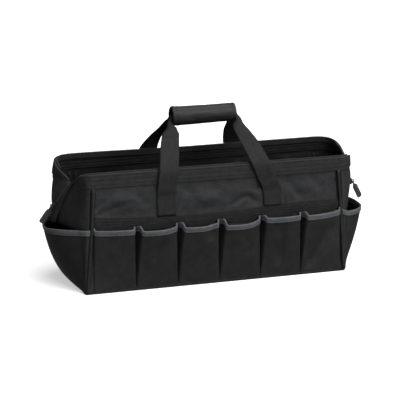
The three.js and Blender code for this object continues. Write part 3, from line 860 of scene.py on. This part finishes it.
def fold_rows(side_steps, crown_steps):
    """A folded edge from its outer foot over the top to its inner foot: side, share of the height, crown."""
    rising = [(1.0, step / side_steps, 0.0) for step in range(side_steps)]
    crown = [(math.cos(turn), 1.0, math.sin(turn)) for turn in stops(0, math.pi, crown_steps)]
    falling = [(-1.0, share, 0.0) for _, share, _ in reversed(rising)]
    return rising + crown + falling


def folded_edge(surface, height_at, half, rows, crown_share, seam_draw):
    """A shape for cloth folded over a surface's upper edge."""

    def at(place, index):
        aside, share, crown = rows[round(index)]
        up = height_at(place, share)
        drawn = seam_draw(place, up, aside) if crown == 0 else 0
        point = surface(place, up) + normal_at(surface, place, up) * (aside * (half - drawn))
        return point + Vector((0, 0, crown * half * crown_share))

    return at


def hem_draw(place, z, aside):
    over_foot = z - hem_foot(place)
    full = ease(rim_at(place) - hem_foot(place), *HEM_FULL)
    drawn = draw_in(over_foot, HEM_OUTER_SEAMS if aside > 0 else HEM_INNER_SEAMS)
    return full * drawn + HEM_RIPPLE * ripple(HEM_WAVES, place, z, aside)


def hem_height(place, share):
    return hem_foot(place) + (rim_at(place) - hem_foot(place)) * share


hem_weave = cloth_finish(
    "hem_weave",
    grey(0.0085, -0.03),
    grey(0.027, -0.05),
    yarns=(0.9, 0.7),
    roughness=0.6,
    relief=0.5,
    gloss=0.2,
    ribs=True,
)
hem_rows = fold_rows(HEM_SIDE_STEPS, HEM_CROWN_STEPS)
for wall, start in (("front", 0), ("back", 4)):
    hem_run = stops(start + HEM_ROOM, start + 4 - HEM_ROOM, 200)
    hem, hem_cut = lay_cloth(
        wall + "_hem_cloth",
        folded_edge(wall_point, hem_height, HEM_HALF, hem_rows, HEM_CROWN, hem_draw),
        hem_run,
        range(len(hem_rows)),
        hem_weave,
        HEM_CLOTH,
    )
    # The hem's inner side takes the darker inside copy of the cloth: painted shade inside the bag.
    hem.data.materials.append(shaded_inside_weave)
    for face in hem.data.polygons:
        if min(face.vertices) // len(hem_run) >= HEM_SIDE_STEPS + HEM_CROWN_STEPS:
            face.material_index = 1
    on_bag(hem, "cloth", wall + "_hem")
    sewn_rows = []
    for aside, seams in ((1, HEM_OUTER_SEAMS), (-1, HEM_INNER_SEAMS)):
        for seam in seams:
            room = UPPER_SEAM_ROOM if seam > FOOT_SEAM else FOOT_SEAM_ROOM
            sewn = stops(start + room, start + 4 - room, 120)
            pairs = [(place, min(hem_foot(place) + seam, rim_at(place) - SEAM_UNDER_RIM)) for place in sewn]
            sewn_rows.append(row_on(wall_point, pairs, aside * (HEM_HALF + STITCH_OUT)))
    sew(wall + "_hem_stitches", sewn_rows, black_thread)


# Zip tapes and teeth
# The two halves of the open zip run inside the hems and stand a little above them. Each is a narrow woven
# tape with a row of moulded teeth on its edge.
ZIP_STAND = 3.5
ZIP_DEPTH = 9
ZIP_ROOM = 0.3
ZIP_IN = 4.0
TAPE = 0.9
TOOTH_PITCH = 2.3
TOOTH = (0.72, 1.5, 1.25)

tape_weave = cloth_finish(
    "tape_weave",
    grey(0.006),
    grey(0.0175),
    yarns=(0.5, 0.8),
    roughness=0.62,
    relief=0.4,
    gloss=0.3,
    ribs=True,
)
zip_teeth = plain_finish("zip_teeth", grey(0.03), grey(0.06), grain=500.0, roughness=0.42)


def tape_at(place, up):
    return wall_point(place, rim_at(place) - ZIP_DEPTH + (ZIP_DEPTH + ZIP_STAND) * up)


for wall, start in (("front", 0), ("back", 4)):
    tape_run = stops(start + ZIP_ROOM, start + 4 - ZIP_ROOM, 160)
    zip_tape, tape_cut = lay_cloth(
        wall + "_tape", carried(tape_at, -ZIP_IN), tape_run, stops(0, 1, 8), tape_weave, TAPE
    )
    on_bag(zip_tape, "tape", wall + "_zip_tape")
    wall + "_hem_cloth"
    teeth_row = row_on(tape_at, [(place, 1.0) for place in tape_run], -ZIP_IN)
    teeth = shown_mesh(wall + "_zip_teeth", beads([teeth_row], TOOTH_PITCH, TOOTH), zip_teeth)
    on_bag(teeth, "tape")


# Zip tails
# Below the mouth the zip is closed: its two tapes lie side by side down the ridge of each end, stitched in
# two rows each, and the meshed teeth run between them to the slider. The left tail hangs loose at its foot.
TAIL_HALF = 0.15
TAIL_OUT = 2.6
TAIL_FALL = 0.3
TAIL_FOOT_HEIGHT = 132
TAIL_TEETH_HEIGHT = 172
TAIL_TOP = 0.985
TAIL_LOOSE = {"left": 5.5, "right": 0}
TAIL_LOOSE_FROM = 162
TAIL_SEAMS = (-0.88, -0.42, 0.42, 0.88)
TAIL_SEAM_ROOM = 0.01
TAIL_STITCH_OUT = 0.5
TAIL_TEETH_OUT = 0.6
MESHED_TOOTH = (0.72, 2.2, 1.0)
RIDGES = {"left": 8, "right": 4}


def tail_at(place, up):
    """The wall under a tail, without its crumple. Below the slider the left tail stands away from it."""
    z = WALL_FOOT + (rim_at(place) - HEM_HEADROOM - WALL_FOOT) * up
    end = "left" if walk_of(place)[1] < 0 else "right"
    loose = TAIL_LOOSE[end] * (1 - ease(z, TAIL_FOOT_HEIGHT, TAIL_LOOSE_FROM))
    return wall_point(place, z) + Vector((-loose if end == "left" else loose, 0, 0))


for end, ridge in RIDGES.items():
    tail_rise = rim_at(ridge) - HEM_HEADROOM - WALL_FOOT
    tail_foot = (TAIL_FOOT_HEIGHT - WALL_FOOT) / tail_rise
    teeth_foot = (TAIL_TEETH_HEIGHT - WALL_FOOT) / tail_rise
    tail, tail_cut = lay_cloth(
        end + "_tail_tape",
        lambda place, up: carried(tail_at, TAIL_OUT - TAIL_FALL * abs(place - ridge) / TAIL_HALF)(place, up),
        stops(ridge - TAIL_HALF, ridge + TAIL_HALF, 40),
        stops(tail_foot, TAIL_TOP, 48),
        tape_weave,
        TAPE,
    )
    on_bag(tail, "tape", end + "_zip_tail")
    meshed = row_on(tail_at, line((ridge, teeth_foot), (ridge, TAIL_TOP), 40), TAIL_OUT + TAIL_TEETH_OUT)
    tail_teeth = shown_mesh(end + "_tail_teeth", beads([meshed], TOOTH_PITCH, MESHED_TOOTH), zip_teeth)
    on_bag(tail_teeth, "tape")
    tail_rows = []
    for aside in TAIL_SEAMS:
        edge = ridge + aside * TAIL_HALF
        out = TAIL_OUT - TAIL_FALL * abs(aside) + TAIL_STITCH_OUT
        sewn = line((edge, tail_foot + TAIL_SEAM_ROOM), (edge, TAIL_TOP - TAIL_SEAM_ROOM), 40)
        tail_rows.append(row_on(tail_at, sewn, out))
    sew(end + "_tail_stitches", tail_rows, black_thread, "tape")


# Sliders and pulls
# Each slider is a small plated casting with a bail, and a flat painted pull tab hangs in the bail and swings
# there. Their edges are rounded off. The tabs are turned and bowed below their eyes.
SLIDER_ROUND = 0.45
PULL_ROUND = 0.5
FLAT_ANGLE = 0.02
SHARP_ANGLE = 0.5
PULL_LONG = 41
PULL_HINGES = {"left": (-329.3, 0, 166), "right": (329.3, 0, 166)}
PULL_TURNS = {"left": math.radians(55), "right": math.radians(78)}
PULL_TURN_FROM = (7, 12)
PULL_BOWS = {"left": 3.0, "right": -3.0}


def rounded_copy(name, node, width, material):
    """A copy of a solid with its flat faces made whole and its edges rounded."""
    casting = bmesh.new()
    casting.from_mesh(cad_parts[node].data)
    bmesh.ops.remove_doubles(casting, verts=casting.verts, dist=WELD)
    bmesh.ops.dissolve_limit(casting, angle_limit=FLAT_ANGLE, verts=casting.verts, edges=casting.edges)
    sharp = [edge for edge in casting.edges if edge.calc_face_angle(0) > SHARP_ANGLE]
    round_off(casting, sharp, width, segments=2, clamp=True)
    bmesh.ops.triangulate(casting, faces=[face for face in casting.faces if len(face.verts) > 4])
    return shown_mesh(name, casting, material)


def turned_tab(pull, end):
    """The tab below its eye turns to the front and is bowed along its length, as a moulded pull hangs."""
    hinge = Vector(PULL_HINGES[end]) * MM
    side = math.copysign(1, hinge.x)
    far = max((vertex.co - hinge for vertex in pull.data.vertices), key=lambda reach: reach.length)
    down = Vector((far.x, 0, far.z)).normalized()
    outwards = Vector((-down.z, 0, down.x)) * side
    for vertex in pull.data.vertices:
        reach = (vertex.co - hinge).dot(down) / MM
        middle = hinge + down * reach * MM
        turn = -side * PULL_TURNS[end] * ease(reach, *PULL_TURN_FROM)
        bow = outwards * PULL_BOWS[end] * MM * (max(reach, 0) / PULL_LONG) ** 2
        vertex.co = middle + Matrix.Rotation(turn, 3, -down) @ (vertex.co - middle) + bow


plated = plain_finish("dark_plating", grey(0.02), grey(0.045), grain=260.0, roughness=0.42, metallic=0.7)
pull_paint = plain_finish(
    "grey_pull_paint", grey(0.018, -0.03), grey(0.037, -0.03), grain=180.0, roughness=0.5
)
for end in RIDGES:
    slider = rounded_copy(end + "_zip_slider", end + "_slider", SLIDER_ROUND, plated)
    on_bag(slider, "metal", end + "_slider")
    pull = rounded_copy(end + "_pull_tab", end + "_pull", PULL_ROUND, pull_paint)
    turned_tab(pull, end)
    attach(pull, end + "_pull")
    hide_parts(end + "_pull")


# Pockets of the long walls
# Six pockets of the same cloth run along each long wall. Each is one sheet sewn down at its sides and foot,
# with a pleat at each side that opens upwards, so that its face stands out at the mouth and sags between the
# pleats.
POCKET_CLOTH = 1.2
POCKET_FOOT = 4
POCKET_TOP = 131.5
POCKET_RISE = 5
POCKET_CLEAR = 0.9
POCKET_TUCK = 0.8
POCKET_REST = 1.8
PLEAT_SLANTS = {-1: 0.42, 1: 0.235}
PLEAT_DROP = 4
PLEAT_RISE_SPAN = (0, 0.14)
PLEAT_DROP_SPAN = (0.2, 1)
FACE_SHARE = 0.8
FACE_FADE = 0.8
FACE_CROWN = 5
FOLD_SOFTNESS = 0.035
FOLD_SPREAD = (-1, -0.5, 0, 0.5, 1)
POCKET_SLACK = 1.5
POCKET_WAVES = (1.1, 2.2, 5)
POCKET_SLACK_LESS = 0.2
MOUTH_STEEP = 30
MOUTH_GENTLE = 2.2
POCKETS = (
    # pleat depth at the left and at the right, sag of the mouth
    (5, 20, 0),
    (20, 20, 5),
    (20, 20, 5),
    (20, 20, 8),
    (20, 20, 0),
    (20, 5, 2),
)
POCKET_FOLDS = (
    # a crease of each pocket's face: start and end across it and up it, half width, depth
    (-8, 74, 6, 44, 9, 0.8),
    (-8, 60, 11, 100, 8, 2.8),
    (27, 132, 27, 98, 10, 2.2),
    (10, 110, 17, 60, 11, 1.8),
    (-2, 112, -5, 30, 13, 4.0),
    (-24, 18, 17, 98, 15, 4.6),
)


def pocket_sheet(side, left, right, sag, middle, fold):
    """A pocket's sheet, from -1 to 1 across and 0 to 1 up. The pleats lie outside the face's share."""
    half = POCKET_PITCH / 2 - POCKET_CLEAR

    def creased(across, up):
        edge = abs(across)
        way = math.copysign(1, across)
        on_face = min(edge / FACE_SHARE, 1) * way
        lift = max(edge - FACE_SHARE, 0) / (1 - FACE_SHARE)
        pleat = (left if on_face < 0 else right) * up
        mean = (left + (right - left) * (on_face + 1) / 2) * up
        tuck = POCKET_TUCK + PLEAT_SLANTS[way] * pleat
        if edge <= FACE_SHARE:
            x = on_face * (half - tuck)
            out = mean + FACE_CROWN * up * (1 - on_face**2)
        else:
            x = way * (half - tuck * (1 - lift))
            out = pleat * (1 - lift)
        hang = 1 - abs(on_face) ** (MOUTH_STEEP if way < 0 else MOUTH_GENTLE)
        top = POCKET_TOP + POCKET_RISE * ease(lift, *PLEAT_RISE_SPAN)
        top = top - PLEAT_DROP * ease(lift, *PLEAT_DROP_SPAN) - sag * hang
        z = POCKET_FOOT + (top - POCKET_FOOT) * up
        face = 1 - ease(edge, FACE_SHARE * FACE_FADE, FACE_SHARE)
        wide, high, deep = POCKET_WAVES
        slack = noise.noise(Vector((on_face * wide + middle, up * high, side * deep))) - POCKET_SLACK_LESS
        out += POCKET_SLACK * slack * face * math.sin(math.pi * min(max(up, 0), 1))
        out -= face * crease_fall([fold], on_face * half, up * (POCKET_TOP - POCKET_FOOT))
        return Vector((middle - side * x, side * (body_at(z)[0] + POCKET_REST + out), z))

    def soft(across, up):
        spread = [min(max(across + k * FOLD_SOFTNESS, -1), 1) for k in FOLD_SPREAD]
        return sum((creased(place, up) for place in spread), Vector()) / len(spread)

    return soft


pocket_sheets = {}
for wall, side in (("front", -1), ("back", 1)):
    for i, (left, right, sag) in enumerate(POCKETS):
        middle = (i - (len(POCKETS) - 1) / 2) * POCKET_PITCH
        pleats = (left, right) if side < 0 else (right, left)
        pocket_sheets[f"{wall}_{i + 1}"] = pocket_sheet(side, *pleats, sag, middle, POCKET_FOLDS[i])

pocket_weave = cloth_finish(
    "pocket_weave",
    grey(0.0056, 0.02),
    grey(0.0187, 0.01),
    yarns=(0.7, 0.7),
    roughness=0.45,
    relief=0.5,
    gloss=0.32,
)
for label, sheet_at in pocket_sheets.items():
    wall, number = label.split("_")
    pocket, pocket_cut = lay_cloth(
        f"{label}_pocket_cloth", sheet_at, stops(-1, 1, 72), stops(0, 1, 40), pocket_weave, POCKET_CLOTH
    )
    on_bag(pocket, "cloth", f"{wall}_pocket_{number}")


# End pockets
# One wide pocket of the same cloth wraps round each end, sewn down from corner seam to corner seam. Its foot
# follows the end and its mouth stands out along the bag.
END_POCKET_ROUND = 2.8
END_POCKET_LIFT = 2.4
END_POCKET_REST = 2.0
END_POCKET_SEAM = 0.988
END_POCKET_SOFT = 4
END_LIFT_SIDES = (0.02, 0.1)
END_STAND_SIDES = (0.012, 0.12)
END_POCKET_WAVES = (1.6, 1.8, 1)
END_SAG_POWER = 4
END_ROW_POWER = 1.5
TIP_HALF = 0.25
END_POCKETS = {
    # place of the ridge behind it, how far the mouth stands out, power of the fullness below it,
    # sag of the mouth, dip at its tip
    "left_end": (8, 74, 0.6, 1, 5),
    "right_end": (4, 69, 0.6, 12, 0),
}


def end_pocket_sheet(ridge, reach, power, sag, dip):
    """An end pocket's sheet, from -1 to 1 across and 0 to 1 up."""

    def at(across, up):
        rise = max(up, 0)
        top = POCKET_TOP - sag * (1 - across**END_SAG_POWER) - dip * math.exp(-((across / TIP_HALF) ** 2))
        z = POCKET_FOOT + (top - POCKET_FOOT) * up
        lift = END_POCKET_LIFT * math.sqrt(rise) * ease(1 - abs(across), *END_LIFT_SIDES)
        point = carried(wall_point, END_POCKET_REST + lift)(ridge + across, z)
        depth, seam = body_at(z)
        mouth = seam + reach * (1 - abs(point.y / depth) ** END_POCKET_ROUND)
        gap = mouth - abs(point.x)
        stand = (gap + math.hypot(gap, END_POCKET_SOFT)) / 2 * rise**power
        stand *= ease(1 - abs(across), *END_STAND_SIDES)
        slack = ripple(END_POCKET_WAVES, across, up, ridge)
        stand += POCKET_SLACK * slack * math.sin(math.pi * min(rise, 1)) * (1 - across**2)
        return point + Vector((math.copysign(stand, point.x), 0, 0))

    return at


for end, (ridge, *form) in END_POCKETS.items():
    sheet_at = end_pocket_sheet(ridge, *form)
    pocket_sheets[end] = sheet_at
    span = stops(-END_POCKET_SEAM, END_POCKET_SEAM, 96)
    rises = [step**END_ROW_POWER for step in stops(0, 1, 48)]
    pocket, pocket_cut = lay_cloth(
        end + "_pocket_cloth", sheet_at, span, rises, pocket_weave, POCKET_CLOTH
    )
    on_bag(pocket, "cloth", end + "_pocket")


# Pocket bindings
# A slate grey ribbon is folded over the mouth of each pocket and sewn through near its lower edge. It follows
# the mouth down across the face and up over the pleats.
BINDING_CLOTH = 1.0
BINDING_HALF = 1.4
BINDING_HEIGHT = 9.6
BINDING_STAND = 1.2
BINDING_SHARE = 0.975
BINDING_SEAM = 3.4
BINDING_CROWN = 0.7
BINDING_DRAW = 1.5
BINDING_STITCH_OUT = 0.35
BINDING_SIDE_STEPS = 8
BINDING_CROWN_STEPS = 6
binding_rows = fold_rows(BINDING_SIDE_STEPS, BINDING_CROWN_STEPS)


def binding_height(_, share):
    return 1 + (BINDING_STAND - BINDING_HEIGHT * (1 - share)) / (POCKET_TOP - POCKET_FOOT)


def binding_draw(_, up, aside):
    over_foot = BINDING_HEIGHT - BINDING_STAND - (1 - up) * (POCKET_TOP - POCKET_FOOT)
    return BINDING_DRAW * draw_in(over_foot, (BINDING_SEAM,))


ribbon_weave = cloth_finish(
    "slate_ribbon",
    grey(0.053, -0.06),
    grey(0.113, -0.07),
    yarns=(0.55, 1.4),
    roughness=0.6,
    relief=0.45,
    gloss=0.2,
    ribs=True,
)
slate_thread = plain_finish(
    "slate_thread", grey(0.018, -0.06), grey(0.032, -0.06), grain=900.0, roughness=0.6
)
binding_seam_up = binding_height(0, BINDING_SEAM / BINDING_HEIGHT)
seam_rows = {"front": [], "back": [], "left": [], "right": []}
for label, sheet_at in pocket_sheets.items():
    wall, number = label.split("_")
    at_end = number == "end"
    reach = END_POCKET_SEAM if at_end else BINDING_SHARE
    ribbon, ribbon_cut = lay_cloth(
        f"{label}_ribbon",
        folded_edge(sheet_at, binding_height, BINDING_HALF, binding_rows, BINDING_CROWN, binding_draw),
        stops(-reach, reach, 96),
        range(len(binding_rows)),
        ribbon_weave,
        BINDING_CLOTH,
    )
    on_bag(ribbon, "binding", f"{wall}_end_binding" if at_end else f"{wall}_binding_{number}")
    run = line((-reach, binding_seam_up), (reach, binding_seam_up), 96)
    seam_rows[wall].append(row_on(sheet_at, run, BINDING_HALF + BINDING_STITCH_OUT))
for wall, rows in seam_rows.items():
    sew(wall + "_ribbon_stitches", rows, slate_thread, "binding")


# Webbing handles
# Each handle is one length of black webbing, sewn to a long wall in two boxed patches. Its legs rise over the
# hem, fold lengthwise and pass side by side through the grip.
WEBBING = 40
WEBBING_THICK = 2.0
FOLDED_WEBBING = 13
FOLD_DEEP = 4.5
FOLD_SHARE = 0.35
AHEAD_STEP = 0.01
PATCH_ROOM = 0.08
PATCH_TOP = 1.0
PATCH_STITCH_OUT = 0.2
GRIP_LEFT = -75
GRIP_RIGHT = 63
GRIP_MIDDLE = (GRIP_LEFT + GRIP_RIGHT) / 2
GRIP_HALF = (GRIP_RIGHT - GRIP_LEFT) / 2
GRIP_HEIGHT = 337
GRIP_ENTRY = 1
GRIP_INSIDE = 8
ENTRY_SPREAD = 8
ENTRY_HEIGHT = 329
ENTRY_WIDTH = 8
STRAP_SPREAD = 4
FRONT_LEGS = {
    # place along the bag, distance out from the wall, height, width
    "left": (
        (-110, 2.4, 151, 40),
        (-110, 2.4, 194, 40),
        (-109.6, 4.4, 202, 40),
        (-109, 5.8, 214, 40),
        (-104.5, 6.8, 248, 40),
        (-94.5, -22, 285, 40),
        (-85.5, -46, 307, 37),
        (-79, -60, 320, 19),
    ),
    "right": (
        (119, 2.4, 154.2, 40),
        (116, 2.4, 190, 40),
        (112, 4.4, 200, 40),
        (105, 5.8, 214, 40),
        (91, 6.8, 248, 40),
        (77, -22, 285, 38),
        (67, -46, 308, 31),
        (64, -57, 319, 22),
    ),
}
BACK_LEGS = {
    # place along the bag, distance out from the wall, height, width
    "left": (
        (-112, 2.4, 151, 40),
        (-111, 2.4, 194, 40),
        (-109.6, 4.4, 202, 40),
        (-107, 5.8, 214, 40),
        (-100, 6.8, 248, 40),
        (-93, -22, 285, 27),
        (-84, -46, 308, 18),
        (-80, -56, 319, 14),
    ),
    "right": (
        (114, 2.4, 154.0, 40),
        (112, 2.4, 190, 40),
        (107, 4.4, 200, 40),
        (100, 5.8, 214, 40),
        (87, 6.8, 248, 40),
        (78, -22, 285, 40),
        (72.5, -46, 308, 33),
        (69, -56, 319, 26),
    ),
}


def curve_through(points):
    """A smooth curve through points, by the number of the point: its spacing keeps loops out of it."""
    first = points[0] * 2 - points[1]
    last = points[-1] * 2 - points[-2]
    padded = [first, *points, last]

    def at(along):
        i = min(max(int(along), 0), len(points) - 2)
        share = along - i
        before, start, end, after = padded[i : i + 4]
        lead = math.sqrt((start - before).length)
        span = math.sqrt((end - start).length)
        trail = math.sqrt((after - end).length)
        leave = ((start - before) / lead - (end - before) / (lead + span) + (end - start) / span) * span
        arrive = ((end - start) / span - (after - start) / (span + trail) + (after - end) / trail) * span
        square = (end - start) * 3 - leave * 2 - arrive
        cube = (start - end) * 2 + leave + arrive
        return start + leave * share + square * share**2 + cube * share**3

    return at


def strap_surface(legs, side):
    """A handle by the number of its station along it, and from one edge at 0 to the other at 1."""
    grip_runs = (
        (GRIP_LEFT - GRIP_ENTRY, ENTRY_SPREAD, ENTRY_HEIGHT, 1, ENTRY_WIDTH),
        (GRIP_LEFT + GRIP_INSIDE, STRAP_SPREAD, GRIP_HEIGHT, 0, FOLDED_WEBBING),
        (GRIP_MIDDLE, STRAP_SPREAD, GRIP_HEIGHT, 0, FOLDED_WEBBING),
        (GRIP_RIGHT - GRIP_INSIDE, STRAP_SPREAD, GRIP_HEIGHT, 0, FOLDED_WEBBING),
        (GRIP_RIGHT + GRIP_ENTRY, ENTRY_SPREAD, ENTRY_HEIGHT, -1, ENTRY_WIDTH),
    )
    stations = []
    for x, out, z, width in legs["left"]:
        stations.append((Vector((x, side * (body_at(z)[0] + out), z)), Vector((1, 0, 0)), width))
    for x, spread, z, lean, width in grip_runs:
        stations.append((Vector((x, side * spread, z)), Vector((lean, 0, -1)).normalized(), width))
    for x, out, z, width in reversed(legs["right"]):
        stations.append((Vector((x, side * (body_at(z)[0] + out), z)), Vector((-1, 0, 0)), width))
    middle_at = curve_through([middle for middle, _, _ in stations])
    last = len(stations) - 1

    def at(along, up):
        i = min(max(int(along), 0), last - 1)
        share = along - i
        across = stations[i][1].lerp(stations[i + 1][1], share).normalized()
        width = stations[i][2] + (stations[i + 1][2] - stations[i][2]) * share
        ahead = (middle_at(along + AHEAD_STEP) - middle_at(along - AHEAD_STEP)).normalized()
        face = ahead.cross(-across) * -side
        turned_back = min((WEBBING - width) * FOLD_SHARE, FOLD_DEEP) * (2 * up - 1) ** 2
        return middle_at(along) + across * (width * (0.5 - up)) - face * turned_back

    return at, last


webbing_weave = cloth_finish(
    "black_webbing",
    grey(0.008, 0.01),
    grey(0.0245, 0.01),
    yarns=(0.9, 2.2),
    roughness=0.68,
    relief=0.7,
    gloss=0.16,
    ribs=True,
)
for wall, legs, side in (("front", FRONT_LEGS, -1), ("back", BACK_LEGS, 1)):
    strap_at, last = strap_surface(legs, side)
    handle, handle_cut = lay_cloth(
        wall + "_handle", strap_at, stops(0, last, 216), stops(0, 1, 12), webbing_weave, WEBBING_THICK
    )
    on_bag(handle, "webbing", wall + "_strap")
    out = -side * (WEBBING_THICK / 2 + PATCH_STITCH_OUT)
    low, high = PATCH_ROOM, 1 - PATCH_ROOM
    patch_rows = []
    for foot, top in ((PATCH_ROOM, PATCH_TOP), (last - PATCH_ROOM, last - PATCH_TOP)):
        corners = [(foot, low), (foot, high), (top, high), (top, low)]
        for start, end in zip(corners, corners[1:] + corners[:1]):
            patch_rows.append(row_on(strap_at, line(start, end, 16), out))
        patch_rows.append(row_on(strap_at, line(corners[0], corners[2], 16), out))
        patch_rows.append(row_on(strap_at, line(corners[1], corners[3], 16), out))
    sew(wall + "_patch_stitches", patch_rows, black_thread, "webbing")


# Padded grip
# A padded sleeve of the wall's cloth is wrapped round both handles and closed by a flap along its top.
# Stitches run on both sides of the flap's edge, in a third row behind it and round each end. The padding
# swells between the rows and rounds over at both open ends.
GRIP_START_RADIUS = 18.2
GRIP_BORE = 12.8
GRIP_ROUND = 4.5
GRIP_SAG = 1.2
GRIP_DROOP = 1.6
FLAP_TURN = math.radians(60)
FLAP_RISE = 1.5
FLAP_STEP = (0, 0.05)
FLAP_FADE = (0.3, 1.6)
LEFT_FLARE = 1.6
FLARE_START = (48, 67)
DROOP_START = (-0.2, 0.9)
END_HEM = 9
END_DRAW = 1.1
END_DRAW_HALF = 1.8
END_ROUND_STEPS = 6
GRIP_SEAMS = tuple(math.radians(turn) for turn in (50, 69, 120))
GRIP_CHANNEL = 0.9
CHANNEL_HALF = 0.06
GRIP_LUMPS = 0.5
LUMP_WAVES = 0.05
GRIP_STITCH_OUT = 0.3
SEWN_AT_END = 1.2
SEWN_IN_BORE = 0.6
SEWN_AT_SEAM = 0.045
GRIP_SIDES = 108
GRIP_STEPS = 60
SWELL_FRAMES = 16
SWELL_PRESSURE = 4.0
SWELL_LIMIT = 1.6 * MM


def grip_section():
    """The sleeve's wall in section, all round: place along it from its middle, and radius."""
    straight = GRIP_HALF - GRIP_ROUND
    thick = (GRIP_START_RADIUS - GRIP_BORE) / 2
    outer = [(along, GRIP_START_RADIUS) for along in stops(-straight, straight, GRIP_STEPS)]
    right = []
    for turn in stops(0, math.pi, END_ROUND_STEPS)[1:-1]:
        right.append((straight + GRIP_ROUND * math.sin(turn), GRIP_BORE + thick + thick * math.cos(turn)))
    inner = [(along, GRIP_BORE) for along, _ in reversed(outer)]
    left = [(-along, radius) for along, radius in reversed(right)]
    return outer + right + inner + left + outer[:1]


grip_rows = grip_section()


def from_grip_end(along):
    """How far a place along the sleeve is from the row of stitches round its nearer end."""
    return GRIP_HALF - END_HEM - abs(along)


def flare_at(along):
    """How far the sleeve opens out at its left end."""
    return LEFT_FLARE * ease(-along, *FLARE_START)


def grip_radius(turn, along):
    """The sleeve's outside before it swells: the flap comes over the top, and each end has a hem."""
    step = (turn - FLAP_TURN) % (2 * math.pi)
    flap = FLAP_RISE * ease(step, *FLAP_STEP) * (1 - ease(step, *FLAP_FADE))
    hem = END_DRAW * math.exp(-((from_grip_end(along) / END_DRAW_HALF) ** 2))
    channel = GRIP_CHANNEL * sum(math.exp(-(((turn - seam) / CHANNEL_HALF) ** 2)) for seam in GRIP_SEAMS)
    lumps = GRIP_LUMPS * noise.noise(Vector((along * LUMP_WAVES, math.cos(turn), math.sin(turn))))
    return GRIP_START_RADIUS + flap - hem - channel + lumps


def grip_at(turn, index):
    """The sleeve before it swells: turn 0 faces the front and a quarter turn faces up."""
    along, radius = grip_rows[round(index)]
    fullness = (radius - GRIP_BORE) / (GRIP_START_RADIUS - GRIP_BORE)
    radius = GRIP_BORE + fullness * (grip_radius(turn, along) - GRIP_BORE) + flare_at(along)
    share = along / GRIP_HALF
    sag = (GRIP_SAG * (1 - share**2) + GRIP_DROOP * ease(-share, *DROOP_START)) * max(-math.sin(turn), 0)
    middle = Vector((GRIP_MIDDLE + along, 0, GRIP_HEIGHT - sag))
    return middle + Vector((0, -math.cos(turn), math.sin(turn))) * radius


def fill_padding(piece, pinned):
    """Cloth pressure swells the padding, and no point moves further than the limit."""
    held = piece.vertex_groups.new(name="sewn")
    held.add(pinned, 1.0, "REPLACE")
    pad = piece.modifiers.new("padding", "CLOTH")
    pad.settings.vertex_group_mass = "sewn"
    pad.settings.use_pressure = True
    pad.settings.uniform_pressure_force = SWELL_PRESSURE
    pad.settings.effector_weights.gravity = 0
    pad.point_cache.frame_end = SWELL_FRAMES
    for step in range(1, SWELL_FRAMES + 1):
        scene.frame_set(step)
    swollen = piece.evaluated_get(bpy.context.evaluated_depsgraph_get()).data
    moves = [new.co - old.co for new, old in zip(swollen.vertices, piece.data.vertices)]
    piece.modifiers.remove(pad)
    piece.vertex_groups.remove(held)
    scene.frame_set(1)
    for vertex, move in zip(piece.data.vertices, moves):
        vertex.co += move * min(1, SWELL_LIMIT / max(move.length, 1e-9))


grip_weave = cloth_finish(
    "grip_weave",
    grey(0.0063, -0.03),
    grey(0.0215, -0.05),
    yarns=(0.6, 0.6),
    roughness=0.45,
    relief=0.45,
    gloss=0.34,
)
grip_turns = stops(0, 2 * math.pi, GRIP_SIDES)
grip, _ = lay_cloth("padded_grip", grip_at, grip_turns, range(len(grip_rows)), grip_weave, closed=True)


def grip_turn(point):
    return math.atan2(point.z / MM - GRIP_HEIGHT, -point.y / MM) % (2 * math.pi)


def sewn_down(point):
    """Whether a point of the sleeve lies on one of its rows of stitches or in its bore."""
    radius = math.hypot(point.y, point.z - GRIP_HEIGHT * MM) / MM
    in_bore = radius < GRIP_BORE + SEWN_IN_BORE
    at_end = abs(from_grip_end(point.x / MM - GRIP_MIDDLE)) < SEWN_AT_END
    return in_bore or at_end or any(abs(grip_turn(point) - seam) < SEWN_AT_SEAM for seam in GRIP_SEAMS)


fill_padding(grip, [vertex.index for vertex in grip.data.vertices if sewn_down(vertex.co)])
on_bag(grip, "cloth", "grip")
seam_half = GRIP_HALF - GRIP_ROUND


def grip_stitch(turn, along):
    """A point on the sleeve for a stitch, and its normal."""
    out = Vector((0, -math.cos(turn), math.sin(turn)))
    middle = Vector((GRIP_MIDDLE + along, 0, GRIP_HEIGHT))
    return middle + out * (grip_radius(turn, along) + flare_at(along) + GRIP_STITCH_OUT), out


def grip_seam(turn):
    """A row of stitches along the sleeve."""
    return [grip_stitch(turn, along) for along in stops(-seam_half, seam_half, 30)]


grip_rounds = []
for end_seam in (END_HEM - GRIP_HALF, GRIP_HALF - END_HEM):
    grip_rounds.append([grip_stitch(turn, end_seam) for turn in stops(0, 2 * math.pi, 48)])
sew("grip_stitches", [grip_seam(turn) for turn in GRIP_SEAMS] + grip_rounds, black_thread)
